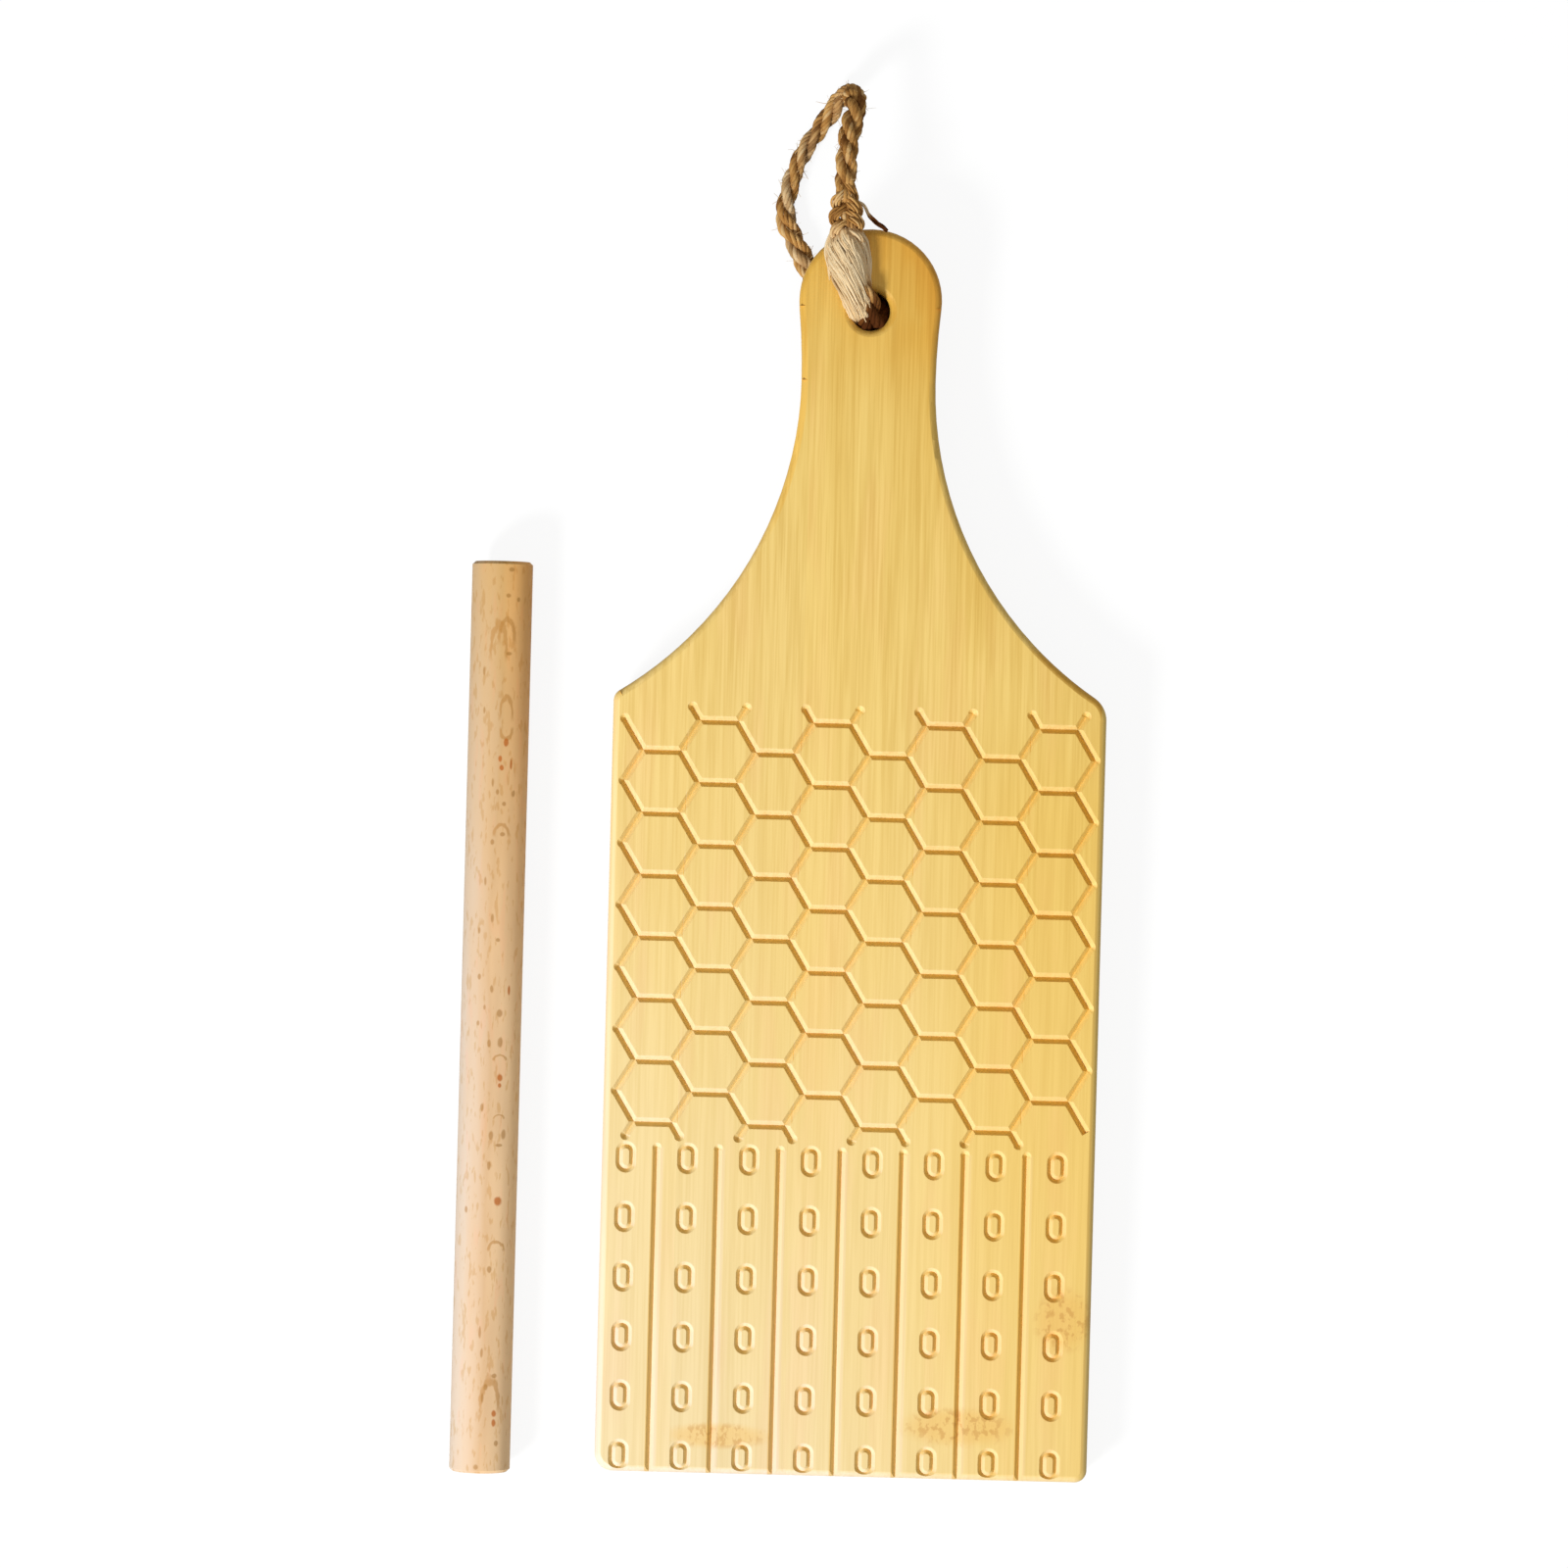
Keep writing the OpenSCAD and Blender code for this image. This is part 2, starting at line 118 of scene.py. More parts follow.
class Graph:
    """A node tree with short calls that add nodes and join them."""

    def __init__(self, tree: bpy.types.NodeTree) -> None:
        """Wrap a tree and empty it.

        Args:
            tree: The tree of a material, a world or a group.
        """
        self.tree = tree
        self.material: bpy.types.Material | None = None
        tree.nodes.clear()

    def add(
        self, kind: str, inputs: dict[str | int, Any] | None = None, **settings: Any
    ) -> bpy.types.Node:
        """Add one node.

        Args:
            kind: The node's type name.
            inputs: Values or sockets for its inputs, by name or number.
            settings: Properties of the node.

        Returns:
            The new node.
        """
        node = self.tree.nodes.new(kind)
        for name, value in settings.items():
            setattr(node, name, value)
        for name, value in (inputs or {}).items():
            if isinstance(value, bpy.types.NodeSocket):
                self.tree.links.new(value, node.inputs[name])
            else:
                node.inputs[name].default_value = value
        return node

    def math(self, operation: str, *values: Any) -> bpy.types.NodeSocket:
        """Return the result of a Math node on up to three values or sockets."""
        return self.add("ShaderNodeMath", dict(enumerate(values)), operation=operation).outputs[0]

    def times(self, first: Any, second: Any) -> bpy.types.NodeSocket:
        """Return the product of two values."""
        return self.math("MULTIPLY", first, second)

    def vector(self, operation: str, *values: Any) -> bpy.types.NodeSocket:
        """Return the vector result of a Vector Math node."""
        return self.add("ShaderNodeVectorMath", dict(enumerate(values)), operation=operation).outputs[0]

    def mix(self, factor: Any, first: Any, second: Any, blend: str = "MIX") -> bpy.types.NodeSocket:
        """Return the mix of two colours."""
        inputs = {0: factor, 6: first, 7: second}
        return self.add("ShaderNodeMix", inputs, data_type="RGBA", blend_type=blend).outputs[2]

    def tint(self, share: Any, color: Any, factors: Point) -> bpy.types.NodeSocket:
        """Return a colour that is multiplied by three factors where the share is 1."""
        return self.mix(share, color, self.mix(1.0, color, (*factors, 1.0), "MULTIPLY"))

    def rise(
        self, value: Any, low: float, high: float, start: float = 0.0, end: float = 1.0
    ) -> bpy.types.NodeSocket:
        """Return a smooth step: start up to low and end from high on, also where high is the lesser."""
        inputs = {"Value": value, "From Min": low, "From Max": high, "To Min": start, "To Max": end}
        return self.add("ShaderNodeMapRange", inputs, interpolation_type="SMOOTHSTEP").outputs["Result"]

    def noise(self, place: Any, scale: Point, seed: Any, detail: float = 2.0) -> bpy.types.NodeSocket:
        """Return fractal noise from 0 to 1.

        Args:
            place: Socket with the position in metres.
            scale: Cells per metre along X, Y and Z.
            seed: Offset that sets the pattern, a number or a socket.
            detail: Octaves.

        Returns:
            The noise's value socket.
        """
        spread = self.vector("MULTIPLY", place, scale)
        shift = self.add("ShaderNodeCombineXYZ", {"X": seed, "Y": seed, "Z": seed}).outputs[0]
        moved = self.vector("ADD", spread, shift)
        inputs = {"Vector": moved, "Scale": 1.0, "Detail": detail, "Roughness": 0.55}
        return self.add("ShaderNodeTexNoise", inputs).outputs[0]

    def facing(self, normal: Any, way: Point) -> bpy.types.NodeSocket:
        """Return the cosine between a normal and a unit vector."""
        inputs = {0: normal, 1: way}
        return self.add("ShaderNodeVectorMath", inputs, operation="DOT_PRODUCT").outputs["Value"]

    def axis(self, vector: Any, name: str) -> bpy.types.NodeSocket:
        """Return the X, Y or Z of a vector."""
        return self.add("ShaderNodeSeparateXYZ", {0: vector}).outputs[name]

    def length(self, vector: Any) -> bpy.types.NodeSocket:
        """Return the length of a vector."""
        return self.add("ShaderNodeVectorMath", {0: vector}, operation="LENGTH").outputs["Value"]

    def ramp(self, factor: Any, stops: list[tuple[float, Color]]) -> bpy.types.NodeSocket:
        """Lay a colour ramp.

        Args:
            factor: Where on the ramp the colour is taken.
            stops: Places and colours, in rising order.

        Returns:
            The colour.
        """
        node = self.add("ShaderNodeValToRGB", {"Fac": factor})
        elements = node.color_ramp.elements
        elements[0].position, elements[0].color = stops[0]
        elements[1].position, elements[1].color = stops[-1]
        for position, color in stops[1:-1]:
            elements.new(position).color = color
        return node.outputs["Color"]


class GroupGraph(Graph):
    """A shader node group with named inputs and outputs."""

    NAME = ""

    def __init__(self, inputs: dict[str, Any], outputs: dict[str, str]) -> None:
        """Make the group's sockets.

        Args:
            inputs: Default of each input: a number makes a float socket, three numbers a vector.
            outputs: Short kind of each output: Color, Float or Vector.
        """
        super().__init__(bpy.data.node_groups.new(self.NAME, "ShaderNodeTree"))
        for label, value in inputs.items():
            kind = "NodeSocketFloat" if isinstance(value, float) else "NodeSocketVector"
            socket = self.tree.interface.new_socket(label, in_out="INPUT", socket_type=kind)
            socket.default_value = value
        for label, kind in outputs.items():
            self.tree.interface.new_socket(label, in_out="OUTPUT", socket_type="NodeSocket" + kind)
        self.given = self.add("NodeGroupInput").outputs

    def give(self, **values: bpy.types.NodeSocket) -> None:
        """Feed the group's outputs."""
        self.add("NodeGroupOutput", dict(values))

    @classmethod
    def shared(cls) -> bpy.types.ShaderNodeTree:
        """Return the group, built when it is first asked for."""
        return bpy.data.node_groups.get(cls.NAME) or cls().tree


class BambooGrain(GroupGraph):
    """The grain of sanded bamboo, painted light and shade on its grooves and on the handle's left edge, and
    one node mark.
    """

    NAME = "bamboo_grain"

    def __init__(self) -> None:
        """Build the group, with outputs Color, Roughness and Height."""
        inputs = {
            "Position": ZERO,
            "Lip Normal": UP,
            "Wall Normal": UP,
            "Seed": 0.0,
            "Tone": 1.0,
            "Face Offset": FACE_OFFSET,
            "Node Centre": ZERO,
            "Node Reach": (1.0, 1.0, 1.0),
            "Node Strength": 0.0,
        }
        super().__init__(inputs, GRAIN_OUTPUTS)
        self.place = self.given["Position"]
        self.seed = self.given["Seed"]
        self.x, self.y, self.z = (self.axis(self.place, name) for name in "XYZ")
        self.fine = self.noise(self.place, (2700.0, 22.0, 2700.0), self.seed)
        self.broad = self.noise(self.place, (750.0, 9.0, 750.0), self.seed, 3.0)
        wood = self.gilded(self.streaked(self.plain()))
        inputs = {0: wood, "Scale": self.given["Tone"]}
        toned = self.add("ShaderNodeVectorMath", inputs, operation="SCALE").outputs[0]
        color = self.noded(self.grooved(toned))
        rough = self.math("MULTIPLY_ADD", self.fine, -0.16, 0.56)
        height = self.math("ADD", self.times(self.fine, 0.6), self.times(self.broad, 0.6))
        self.give(Color=color, Roughness=rough, Height=height)

    def plain(self) -> bpy.types.NodeSocket:
        """Shade the wood from pale at the lower left to golden at the handle.

        The place on the ramp is 3.9 y + 4.32 x + 0.511 and a slow drift of 0.13 either way.

        Returns:
            The colour.
        """
        along = self.math("MULTIPLY_ADD", self.y, 3.9, 0.511)
        across = self.math("MULTIPLY_ADD", self.x, 4.32, along)
        slow = self.noise(self.place, (70.0, 9.0, 70.0), self.seed)
        drift = self.math("MULTIPLY_ADD", slow, 0.26, -0.13)
        stops = [
            (0.0, srgb("FBE5B4", 1.13)),
            (0.35, srgb("F5D891", 1.0)),
            (0.5, srgb("F3D384", 0.96)),
            (0.8, srgb("F1CF78", 0.93)),
            (0.92, srgb("E8BF60", 0.93)),
            (1.0, srgb("DDA743", 0.92)),
        ]
        return self.ramp(self.math("ADD", across, drift), stops)

    def streaked(self, wood: bpy.types.NodeSocket) -> bpy.types.NodeSocket:
        """Lay rosy patches, fine fibre streaks and broad bands, all noise stretched along Y.

        Args:
            wood: The colour below.

        Returns:
            The colour with them. They stand out more on the handle than on the grooved field.
        """
        strength = self.rise(self.y, -40.0 * MM, 60.0 * MM, 0.45, 1.0)
        streak = self.times(self.rise(self.fine, 0.62, 0.34, 0.0, 0.75), strength)
        other_seed = self.math("ADD", self.seed, 7.0)
        rosy = self.rise(self.noise(self.place, (150.0, 28.0, 150.0), other_seed), 0.5, 0.68)
        band = self.times(self.rise(self.broad, 0.6, 0.38), strength)
        blushed = self.tint(self.times(rosy, 0.8), wood, (1.01, 0.965, 1.02))
        lined = self.tint(streak, blushed, (0.87, 0.82, 0.68))
        return self.tint(self.times(band, 0.7), lined, (0.9, 0.86, 0.74))

    def gilded(self, wood: bpy.types.NodeSocket) -> bpy.types.NodeSocket:
        """Turn the right of the grooved field and the handle's head more golden, and paint shade as a
        darker golden band on the handle's rounded left edge.

        Args:
            wood: The colour below.

        Returns:
            The colour with them.
        """
        right = self.times(self.rise(self.x, 20.0 * MM, 42.0 * MM), self.rise(self.y, 30.0 * MM, 5.0 * MM))
        across_head = self.rise(self.x, 6.0 * MM, 21.0 * MM, 0.5, 1.0)
        head = self.times(across_head, self.rise(self.y, 70.0 * MM, 92.0 * MM))
        cloud = self.rise(self.noise(self.place, (190.0, 75.0, 190.0), 2.0), 0.35, 0.6, 0.6, 1.3)
        # Painted shade: the handle's rounded left edge catches less light, so it is tinted a darker golden.
        facing_left = self.rise(self.facing(self.given["Wall Normal"], (-1.0, 0.0, 0.0)), 0.12, 0.4)
        painted_left_edge_shade = self.times(facing_left, self.rise(self.y, 50.0 * MM, 58.0 * MM))
        warm = self.tint(right, wood, (0.985, 0.94, 0.78))
        head_tint_and_edge_shade = self.math("MAXIMUM", self.times(head, cloud), painted_left_edge_shade)
        return self.tint(head_tint_and_edge_shade, warm, (0.96, 0.86, 0.64))

    def near_face(self) -> bpy.types.NodeSocket:
        """Mask the grooved field down to the grooves' floors.

        The depth below the face is offset - (z cos(lean) - y sin(lean)).

        Returns:
            1 in the field and 0 elsewhere.
        """
        height = self.math("SUBTRACT", self.times(self.z, LEAN_COS), self.times(self.y, LEAN_SIN))
        depth = self.math("SUBTRACT", self.given["Face Offset"], height)
        below_shoulders = self.rise(self.y, FIELD_TOP + 3.0 * MM, FIELD_TOP)
        field_part = self.times(below_shoulders, self.rise(self.x, FIELD_RIGHT + 0.4 * MM, FIELD_RIGHT))
        return self.times(self.rise(depth, 2.2 * MM, 1.4 * MM), field_part)

    def lane_sides(self) -> tuple[bpy.types.NodeSocket, bpy.types.NodeSocket]:
        """Mask the two sides of the long grooves, for painted shade and painted light.

        A place's distance d from the nearest of them is pitch (fraction((x - x0) / pitch + 1/2) - 1/2).

        Returns:
            The mask of the left half with its rim, where shade is painted, and of the right lip, where
            light is painted.
        """
        turns = self.math("MULTIPLY_ADD", self.x, 1.0 / LANE_PITCH, 0.5 - LANE_X / LANE_PITCH)
        away = self.times(self.math("SUBTRACT", self.math("FRACT", turns), 0.5), LANE_PITCH)
        from_left = self.rise(self.x, LANES_LEFT, LANES_LEFT + 0.5 * MM)
        across = self.times(from_left, self.rise(self.x, LANES_RIGHT, LANES_RIGHT - 0.5 * MM))
        lanes_part = self.times(across, self.rise(self.y, LANE_TOP, LANE_TOP - 0.4 * MM))
        # The lamp is at the lower left, so each long groove's left half gets painted shade and its right
        # lip gets painted light.
        rim = self.rise(away, -0.9 * MM, -0.68 * MM, 0.0, 0.85)
        painted_shade_side = self.times(rim, self.rise(away, 0.0, -0.2 * MM))
        lip = self.rise(away, 1.3 * MM, 0.8 * MM, 0.0, 0.6)
        painted_light_side = self.times(self.rise(away, 0.1 * MM, 0.3 * MM), lip)
        return self.times(painted_shade_side, lanes_part), self.times(painted_light_side, lanes_part)

    def grooved(self, wood: bpy.types.NodeSocket) -> bpy.types.NodeSocket:
        """Paint light and shade into the grooves: paler, as painted light, where they face the lamp at the
        lower left, and darker, as painted shade, on the other side.

        Lips are found by the bevelled normal and walls by the true one.

        Args:
            wood: The colour below.

        Returns:
            The colour with them.
        """
        near = self.near_face()
        lane_painted_shade, lane_painted_light = self.lane_sides()
        lip = self.given["Lip Normal"]
        # Painted light goes on lips and walls that face the lamp at the lower left, and painted shade goes
        # on those that face away.
        lip_facing = self.facing(lip, (-0.67, -0.74, 0.0))
        wall_facing = self.facing(self.given["Wall Normal"], (-0.74, -0.67, 0.0))
        # The joints between staves bend the lip normal along X alone, so such lips are left out.
        edge = self.rise(self.math("ABSOLUTE", self.axis(lip, "Y")), 0.06, 0.16)
        painted_light_lip = self.math("MAXIMUM", self.times(edge, self.rise(lip_facing, 0.1, 0.5)), lane_painted_light)
        painted_light_part = self.times(near, self.math("MAXIMUM", painted_light_lip, self.rise(wall_facing, 0.15, 0.4)))
        painted_shade_lip = self.math("MAXIMUM", self.times(edge, self.rise(lip_facing, -0.12, -0.55)), lane_painted_shade)
        painted_shade_wall = self.rise(wall_facing, -0.15, -0.4, 0.0, 0.8)
        painted_shade_part = self.times(near, self.math("MAXIMUM", painted_shade_lip, painted_shade_wall))
        # Painted light pales the lit side of each groove, and painted shade darkens the other side.
        painted_light_wood = self.tint(painted_light_part, wood, (1.04, 1.08, 1.45))
        return self.tint(painted_shade_part, painted_light_wood, (0.85, 0.68, 0.34))

    def noded(self, wood: bpy.types.NodeSocket) -> bpy.types.NodeSocket:
        """Stain the oval patch of a node and strew specks in it.

        Args:
            wood: The colour below.

        Returns:
            The colour with it.
        """
        offset = self.vector("SUBTRACT", self.place, self.given["Node Centre"])
        reach = self.length(self.vector("DIVIDE", offset, self.given["Node Reach"]))
        patch = self.times(self.rise(reach, 1.25, 0.6), self.given["Node Strength"])
        specks = self.rise(self.noise(self.place, (900.0, 620.0, 900.0), self.seed, 4.0), 0.5, 0.6)
        stained = self.mix(self.times(patch, 0.45), wood, srgb("E9B85C"))
        return self.mix(self.times(self.times(patch, specks), 0.42), stained, srgb("BE8038"))


class BeechGrain(GroupGraph):
    """The grain of plain sanded beech.

    The shade runs across by 100 (x - middle) + 0.5 and a slow drift, on a paler ramp at the lower end. Both
    ramps turn lighter towards the right, the side the lamp leaves in shade, which is painted light. Pores
    are dashes of noise stretched along Y.
    """

    NAME = "beech_grain"

    def __init__(self) -> None:
        """Build the group, with outputs Color, Roughness and Height."""
        super().__init__({"Position": ZERO, "Middle": -47.5 * MM, "Seed": 0.0}, GRAIN_OUTPUTS)
        place = self.given["Position"]
        seed = self.given["Seed"]
        side = self.math("SUBTRACT", self.axis(place, "X"), self.given["Middle"])
        slow = self.noise(place, (300.0, 30.0, 300.0), seed)
        across = self.math("MULTIPLY_ADD", side, 100.0, 0.5)
        shade = self.math("ADD", across, self.math("MULTIPLY_ADD", slow, 0.5, -0.25))
        # Painted light: the right side, which the lamp leaves in shade, takes the lighter end of both
        # ramps.
        upper = self.ramp(shade, [(0.08, srgb("D0AC7A")), (0.5, srgb("D8AB68")), (0.92, srgb("FCBA66"))])
        lower = self.ramp(shade, [(0.08, srgb("DDC9B4")), (0.5, srgb("DCB68B")), (0.92, srgb("FFDAAA"))])
        base = self.mix(self.rise(self.axis(place, "Y"), 70.0 * MM, -40.0 * MM), upper, lower)
        pores = self.rise(self.noise(place, (1400.0, 380.0, 1400.0), seed), 0.55, 0.66)
        dashed = self.tint(self.times(pores, 0.65), base, (0.84, 0.72, 0.52))
        blush = self.rise(self.noise(place, (800.0, 120.0, 800.0), seed, 1.0), 0.58, 0.7)
        color = self.tint(self.times(blush, 0.5), dashed, (1.06, 0.95, 0.94))
        rough = self.math("MULTIPLY_ADD", pores, 0.12, 0.55)
        height = self.math("SUBTRACT", self.times(slow, 0.3), pores)
        self.give(Color=color, Roughness=rough, Height=height)


class OvalMark(GroupGraph):
    """The mask of one oval mark with a ragged rim.

    With r the length of (position - centre) / reach and some noise, Inside is 1 below r = 1, and
    Arch is 1 near r = 1 in the upper half.
    """

    NAME = "oval_mark"

    def __init__(self) -> None:
        """Build the group, with outputs Inside and Arch."""
        inputs = {"Position": ZERO, "Centre": ZERO, "Reach": ZERO}
        super().__init__(inputs, {"Inside": "Float", "Arch": "Float"})
        place = self.given["Position"]
        ragged = self.noise(place, (1300.0, 700.0, 1300.0), 5.0, 1.0)
        offset = self.vector("SUBTRACT", place, self.given["Centre"])
        share = self.vector("DIVIDE", offset, self.given["Reach"])
        r = self.math("ADD", self.length(share), self.math("MULTIPLY_ADD", ragged, 0.5, -0.25))
        upper = self.rise(self.axis(share, "Y"), -0.35, 0.15)
        ring = self.rise(self.math("ABSOLUTE", self.math("SUBTRACT", r, 1.0)), 0.26, 0.1)
        self.give(Inside=self.rise(r, 1.15, 0.6), Arch=self.times(ring, upper))


class JuteFibres(GroupGraph):
    """The colour of twisted jute.

    Fibres are noise stretched along the yarn on its own UV map, the U side round the yarn. Tone lightens or
    darkens a yarn, Pale bleaches it to cream, and the third mask darkens it with painted shade in creases
    and hollows.
    """

    NAME = "jute_fibres"

    def __init__(self) -> None:
        """Build the group, with outputs Color, Roughness and Height."""
        super().__init__({"Strand": ZERO, "Tone": 0.5, "Pale": 0.0, "Painted Shade": 0.0}, GRAIN_OUTPUTS)
        strand = self.given["Strand"]
        tone = self.given["Tone"]
        fibres = self.noise(strand, (9.0, 900.0, 1.0), self.times(tone, 31.0))
        patches = self.noise(strand, (1.0, 260.0, 1.0), self.times(tone, 17.0))
        fibre_part = self.math("MULTIPLY_ADD", fibres, 0.5, -0.25)
        shade = self.math("ADD", fibre_part, self.math("MULTIPLY_ADD", patches, 0.5, -0.25))
        light = self.math("ADD", shade, tone)
        tan_stops = [
            (0.0, srgb("744517")),
            (0.35, srgb("B07C3A")),
            (0.7, srgb("D09F58")),
            (1.0, srgb("E8C58C")),
        ]
        cream_stops = [(0.0, srgb("C09E6B")), (0.4, srgb("E0C292")), (0.8, srgb("F0D9B0"))]
        bleached = self.mix(self.given["Pale"], self.ramp(light, tan_stops), self.ramp(light, cream_stops))
        # Painted shade: the third mask darkens creases and hollows to a deep brown.
        color = self.tint(self.given["Painted Shade"], bleached, (0.34, 0.22, 0.15))
        self.give(Color=color, Roughness=self.math("MULTIPLY_ADD", fibres, 0.1, 0.84), Height=fibres)


@dataclass(frozen=True)
class Finish:
    """A surface: a grain group with its own values on a Principled shader."""

    name: str
    specular: float = 0.25
    bump_depth: float = 0.02 * MM
    bump_strength: float = 0.4

    def begin(self) -> Graph:
        """Start a new material of this finish's name.

        Returns:
            Its empty graph.
        """
        material = bpy.data.materials.new(self.name)
        material.use_nodes = True
        graph = Graph(material.node_tree)
        graph.material = material
        return graph

    def close(
        self, graph: Graph, grain: bpy.types.Node, color: bpy.types.NodeSocket | None = None
    ) -> bpy.types.Material:
        """Join a grain group to the shader.

        Args:
            graph: The material's graph.
            grain: The group node that gives Color, Roughness and Height.
            color: The colour in place of the group's own.

        Returns:
            The finished material.
        """
        height = grain.outputs["Height"]
        inputs = {"Height": height, "Distance": self.bump_depth, "Strength": self.bump_strength}
        relief = graph.add("ShaderNodeBump", inputs)
        shader = graph.add(
            "ShaderNodeBsdfPrincipled",
            {
                "Base Color": color or grain.outputs["Color"],
                "Roughness": grain.outputs["Roughness"],
                "Normal": relief.outputs[0],
                "Specular IOR Level": self.specular,
            },
        )
        graph.add("ShaderNodeOutputMaterial", {"Surface": shader.outputs[0]})
        return graph.material


@dataclass(frozen=True)
class NodeMark:
    """The speckled oval that a node leaves on a stave, in millimetres; strength 0 hides it."""

    centre: tuple[float, float] = (0.0, 0.0)
    reach: tuple[float, float] = (1.0, 1.0)
    strength: float = 0.0
    height: float = 9.0
    depth: float = 4.0


@dataclass(frozen=True)
class BambooFinish(Finish):
    """One stave's bamboo: its own grain, tone and node mark."""

    seed: float = 0.0
    tone: float = 1.0
    mark: NodeMark = NodeMark()
    lip_radius: float = 0.5 * MM
    lip_samples: int = 8

    def material(self) -> bpy.types.Material:
        """Build the stave's material.

        Returns:
            The material.
        """
        graph = self.begin()
        mark = self.mark
        lips = graph.add("ShaderNodeBevel", {"Radius": self.lip_radius}, samples=self.lip_samples)
        values = {
            "Position": graph.add("ShaderNodeTexCoord").outputs["Object"],
            "Lip Normal": lips.outputs[0],
            "Wall Normal": graph.add("ShaderNodeNewGeometry").outputs["Normal"],
            "Seed": self.seed,
            "Tone": self.tone,
            "Face Offset": FACE_OFFSET,
            "Node Centre": metres(*mark.centre, mark.height),
            "Node Reach": metres(*mark.reach, mark.depth),
            "Node Strength": mark.strength,
        }
        grain = graph.add("ShaderNodeGroup", values, node_tree=BambooGrain.shared())
        return self.close(graph, grain)


class Mark(Enum):
    """A kind of mark in beech: the group's output, its colour and how strong it is."""

    PORE = ("Inside", "A8742F", 0.62)
    KNOT = ("Inside", "C06A22", 0.85)
    ARCH = ("Arch", "BE8640", 0.6)


@dataclass(frozen=True)
class BeechFinish(Finish):
    """The dowel's plain beech. A mark has its side, Y, half width and half height, in millimetres."""

    seed: float = 4.0
    middle: float = -47.5
    mark_height: float = 9.6
    mark_depth: float = 3.0
    marks: tuple[tuple[Mark, float, float, float, float], ...] = (
        (Mark.ARCH, 1.2, 34.0, 1.3, 3.4),
        (Mark.ARCH, -0.1, 31.6, 1.3, 5.0),
        (Mark.ARCH, 1.4, 21.5, 1.0, 3.2),
        (Mark.ARCH, 1.5, 19.4, 1.0, -1.6),
        (Mark.ARCH, 1.1, 2.0, 1.2, 1.6),
        (Mark.ARCH, 1.6, -92.0, 1.5, 4.4),
        (Mark.KNOT, 1.5, 17.2, 0.42, 0.75),
        (Mark.KNOT, 0.6, 14.5, 0.36, 0.6),
        (Mark.KNOT, 0.9, 13.0, 0.4, 0.5),
        (Mark.KNOT, 2.4, 13.6, 0.2, 1.0),
        (Mark.KNOT, 2.3, -93.1, 0.4, 0.6),
        (Mark.KNOT, 2.3, -94.6, 0.35, 0.7),
        (Mark.PORE, 1.3, 41.3, 0.45, 0.4),
        (Mark.PORE, 2.9, 40.7, 0.3, 0.45),
        (Mark.PORE, 1.7, 45.6, 0.5, 0.4),
        (Mark.PORE, 1.6, 31.8, 0.5, 0.35),
        (Mark.PORE, -2.4, 28.8, 0.22, 0.9),
        (Mark.PORE, -2.2, 22.4, 0.22, 0.7),
        (Mark.PORE, 0.3, 9.0, 0.3, 0.5),
        (Mark.PORE, 2.9, 8.8, 0.3, 0.6),
        (Mark.PORE, 1.4, 7.1, 0.35, 0.4),
        (Mark.PORE, -0.5, 10.6, 0.22, 0.8),
        (Mark.PORE, 1.3, 2.1, 0.45, 0.4),
        (Mark.PORE, -0.3, 0.8, 0.35, 0.5),
        (Mark.PORE, -1.3, -5.7, 0.22, 0.8),
        (Mark.PORE, 0.0, -11.8, 0.3, 0.8),
        (Mark.PORE, -2.1, -13.8, 0.22, 0.6),
        (Mark.PORE, 1.0, -15.3, 0.4, 0.35),
        (Mark.PORE, -1.9, -21.4, 0.3, 0.5),
        (Mark.PORE, 0.2, -23.4, 0.3, 0.7),
        (Mark.KNOT, 3.0, -23.6, 0.22, 0.9),
        (Mark.PORE, -0.9, -26.4, 0.25, 0.5),
        (Mark.PORE, 1.6, -27.3, 0.5, 0.7),
        (Mark.PORE, -1.9, -29.0, 0.28, 0.5),
        (Mark.PORE, 0.0, -32.3, 0.32, 0.7),
        (Mark.PORE, 1.8, -32.1, 0.5, 0.9),
        (Mark.ARCH, 1.8, -35.0, 1.0, 0.8),
        (Mark.KNOT, 1.9, -37.9, 0.5, 0.6),
        (Mark.KNOT, 1.9, -39.2, 0.3, 0.4),
        (Mark.PORE, -0.9, -42.8, 0.32, 0.7),
        (Mark.ARCH, 1.9, -44.6, 0.8, 0.6),
        (Mark.PORE, 0.7, -47.4, 0.4, 0.8),
        (Mark.PORE, 2.7, -47.2, 0.4, 0.9),
        (Mark.PORE, 2.0, -49.0, 0.6, 0.25),
        (Mark.PORE, 0.5, -52.4, 0.32, 0.8),
        (Mark.KNOT, 2.1, -58.2, 0.7, 0.8),
        (Mark.PORE, -3.1, -59.7, 0.25, 0.6),
        (Mark.ARCH, 2.0, -66.2, 1.2, 1.3),
        (Mark.PORE, 1.0, -69.4, 0.4, 0.6),
        (Mark.PORE, -0.3, -79.7, 0.25, 1.1),
        (Mark.PORE, 0.1, -83.1, 0.25, 0.9),
        (Mark.PORE, 2.2, -86.9, 0.45, 0.4),
        (Mark.PORE, 0.9, -88.7, 0.35, 0.6),
        (Mark.PORE, 0.4, -90.5, 0.25, 0.9),
        (Mark.PORE, 2.8, -98.0, 0.35, 0.5),
        (Mark.PORE, -0.4, -101.9, 0.4, 0.5),
    )

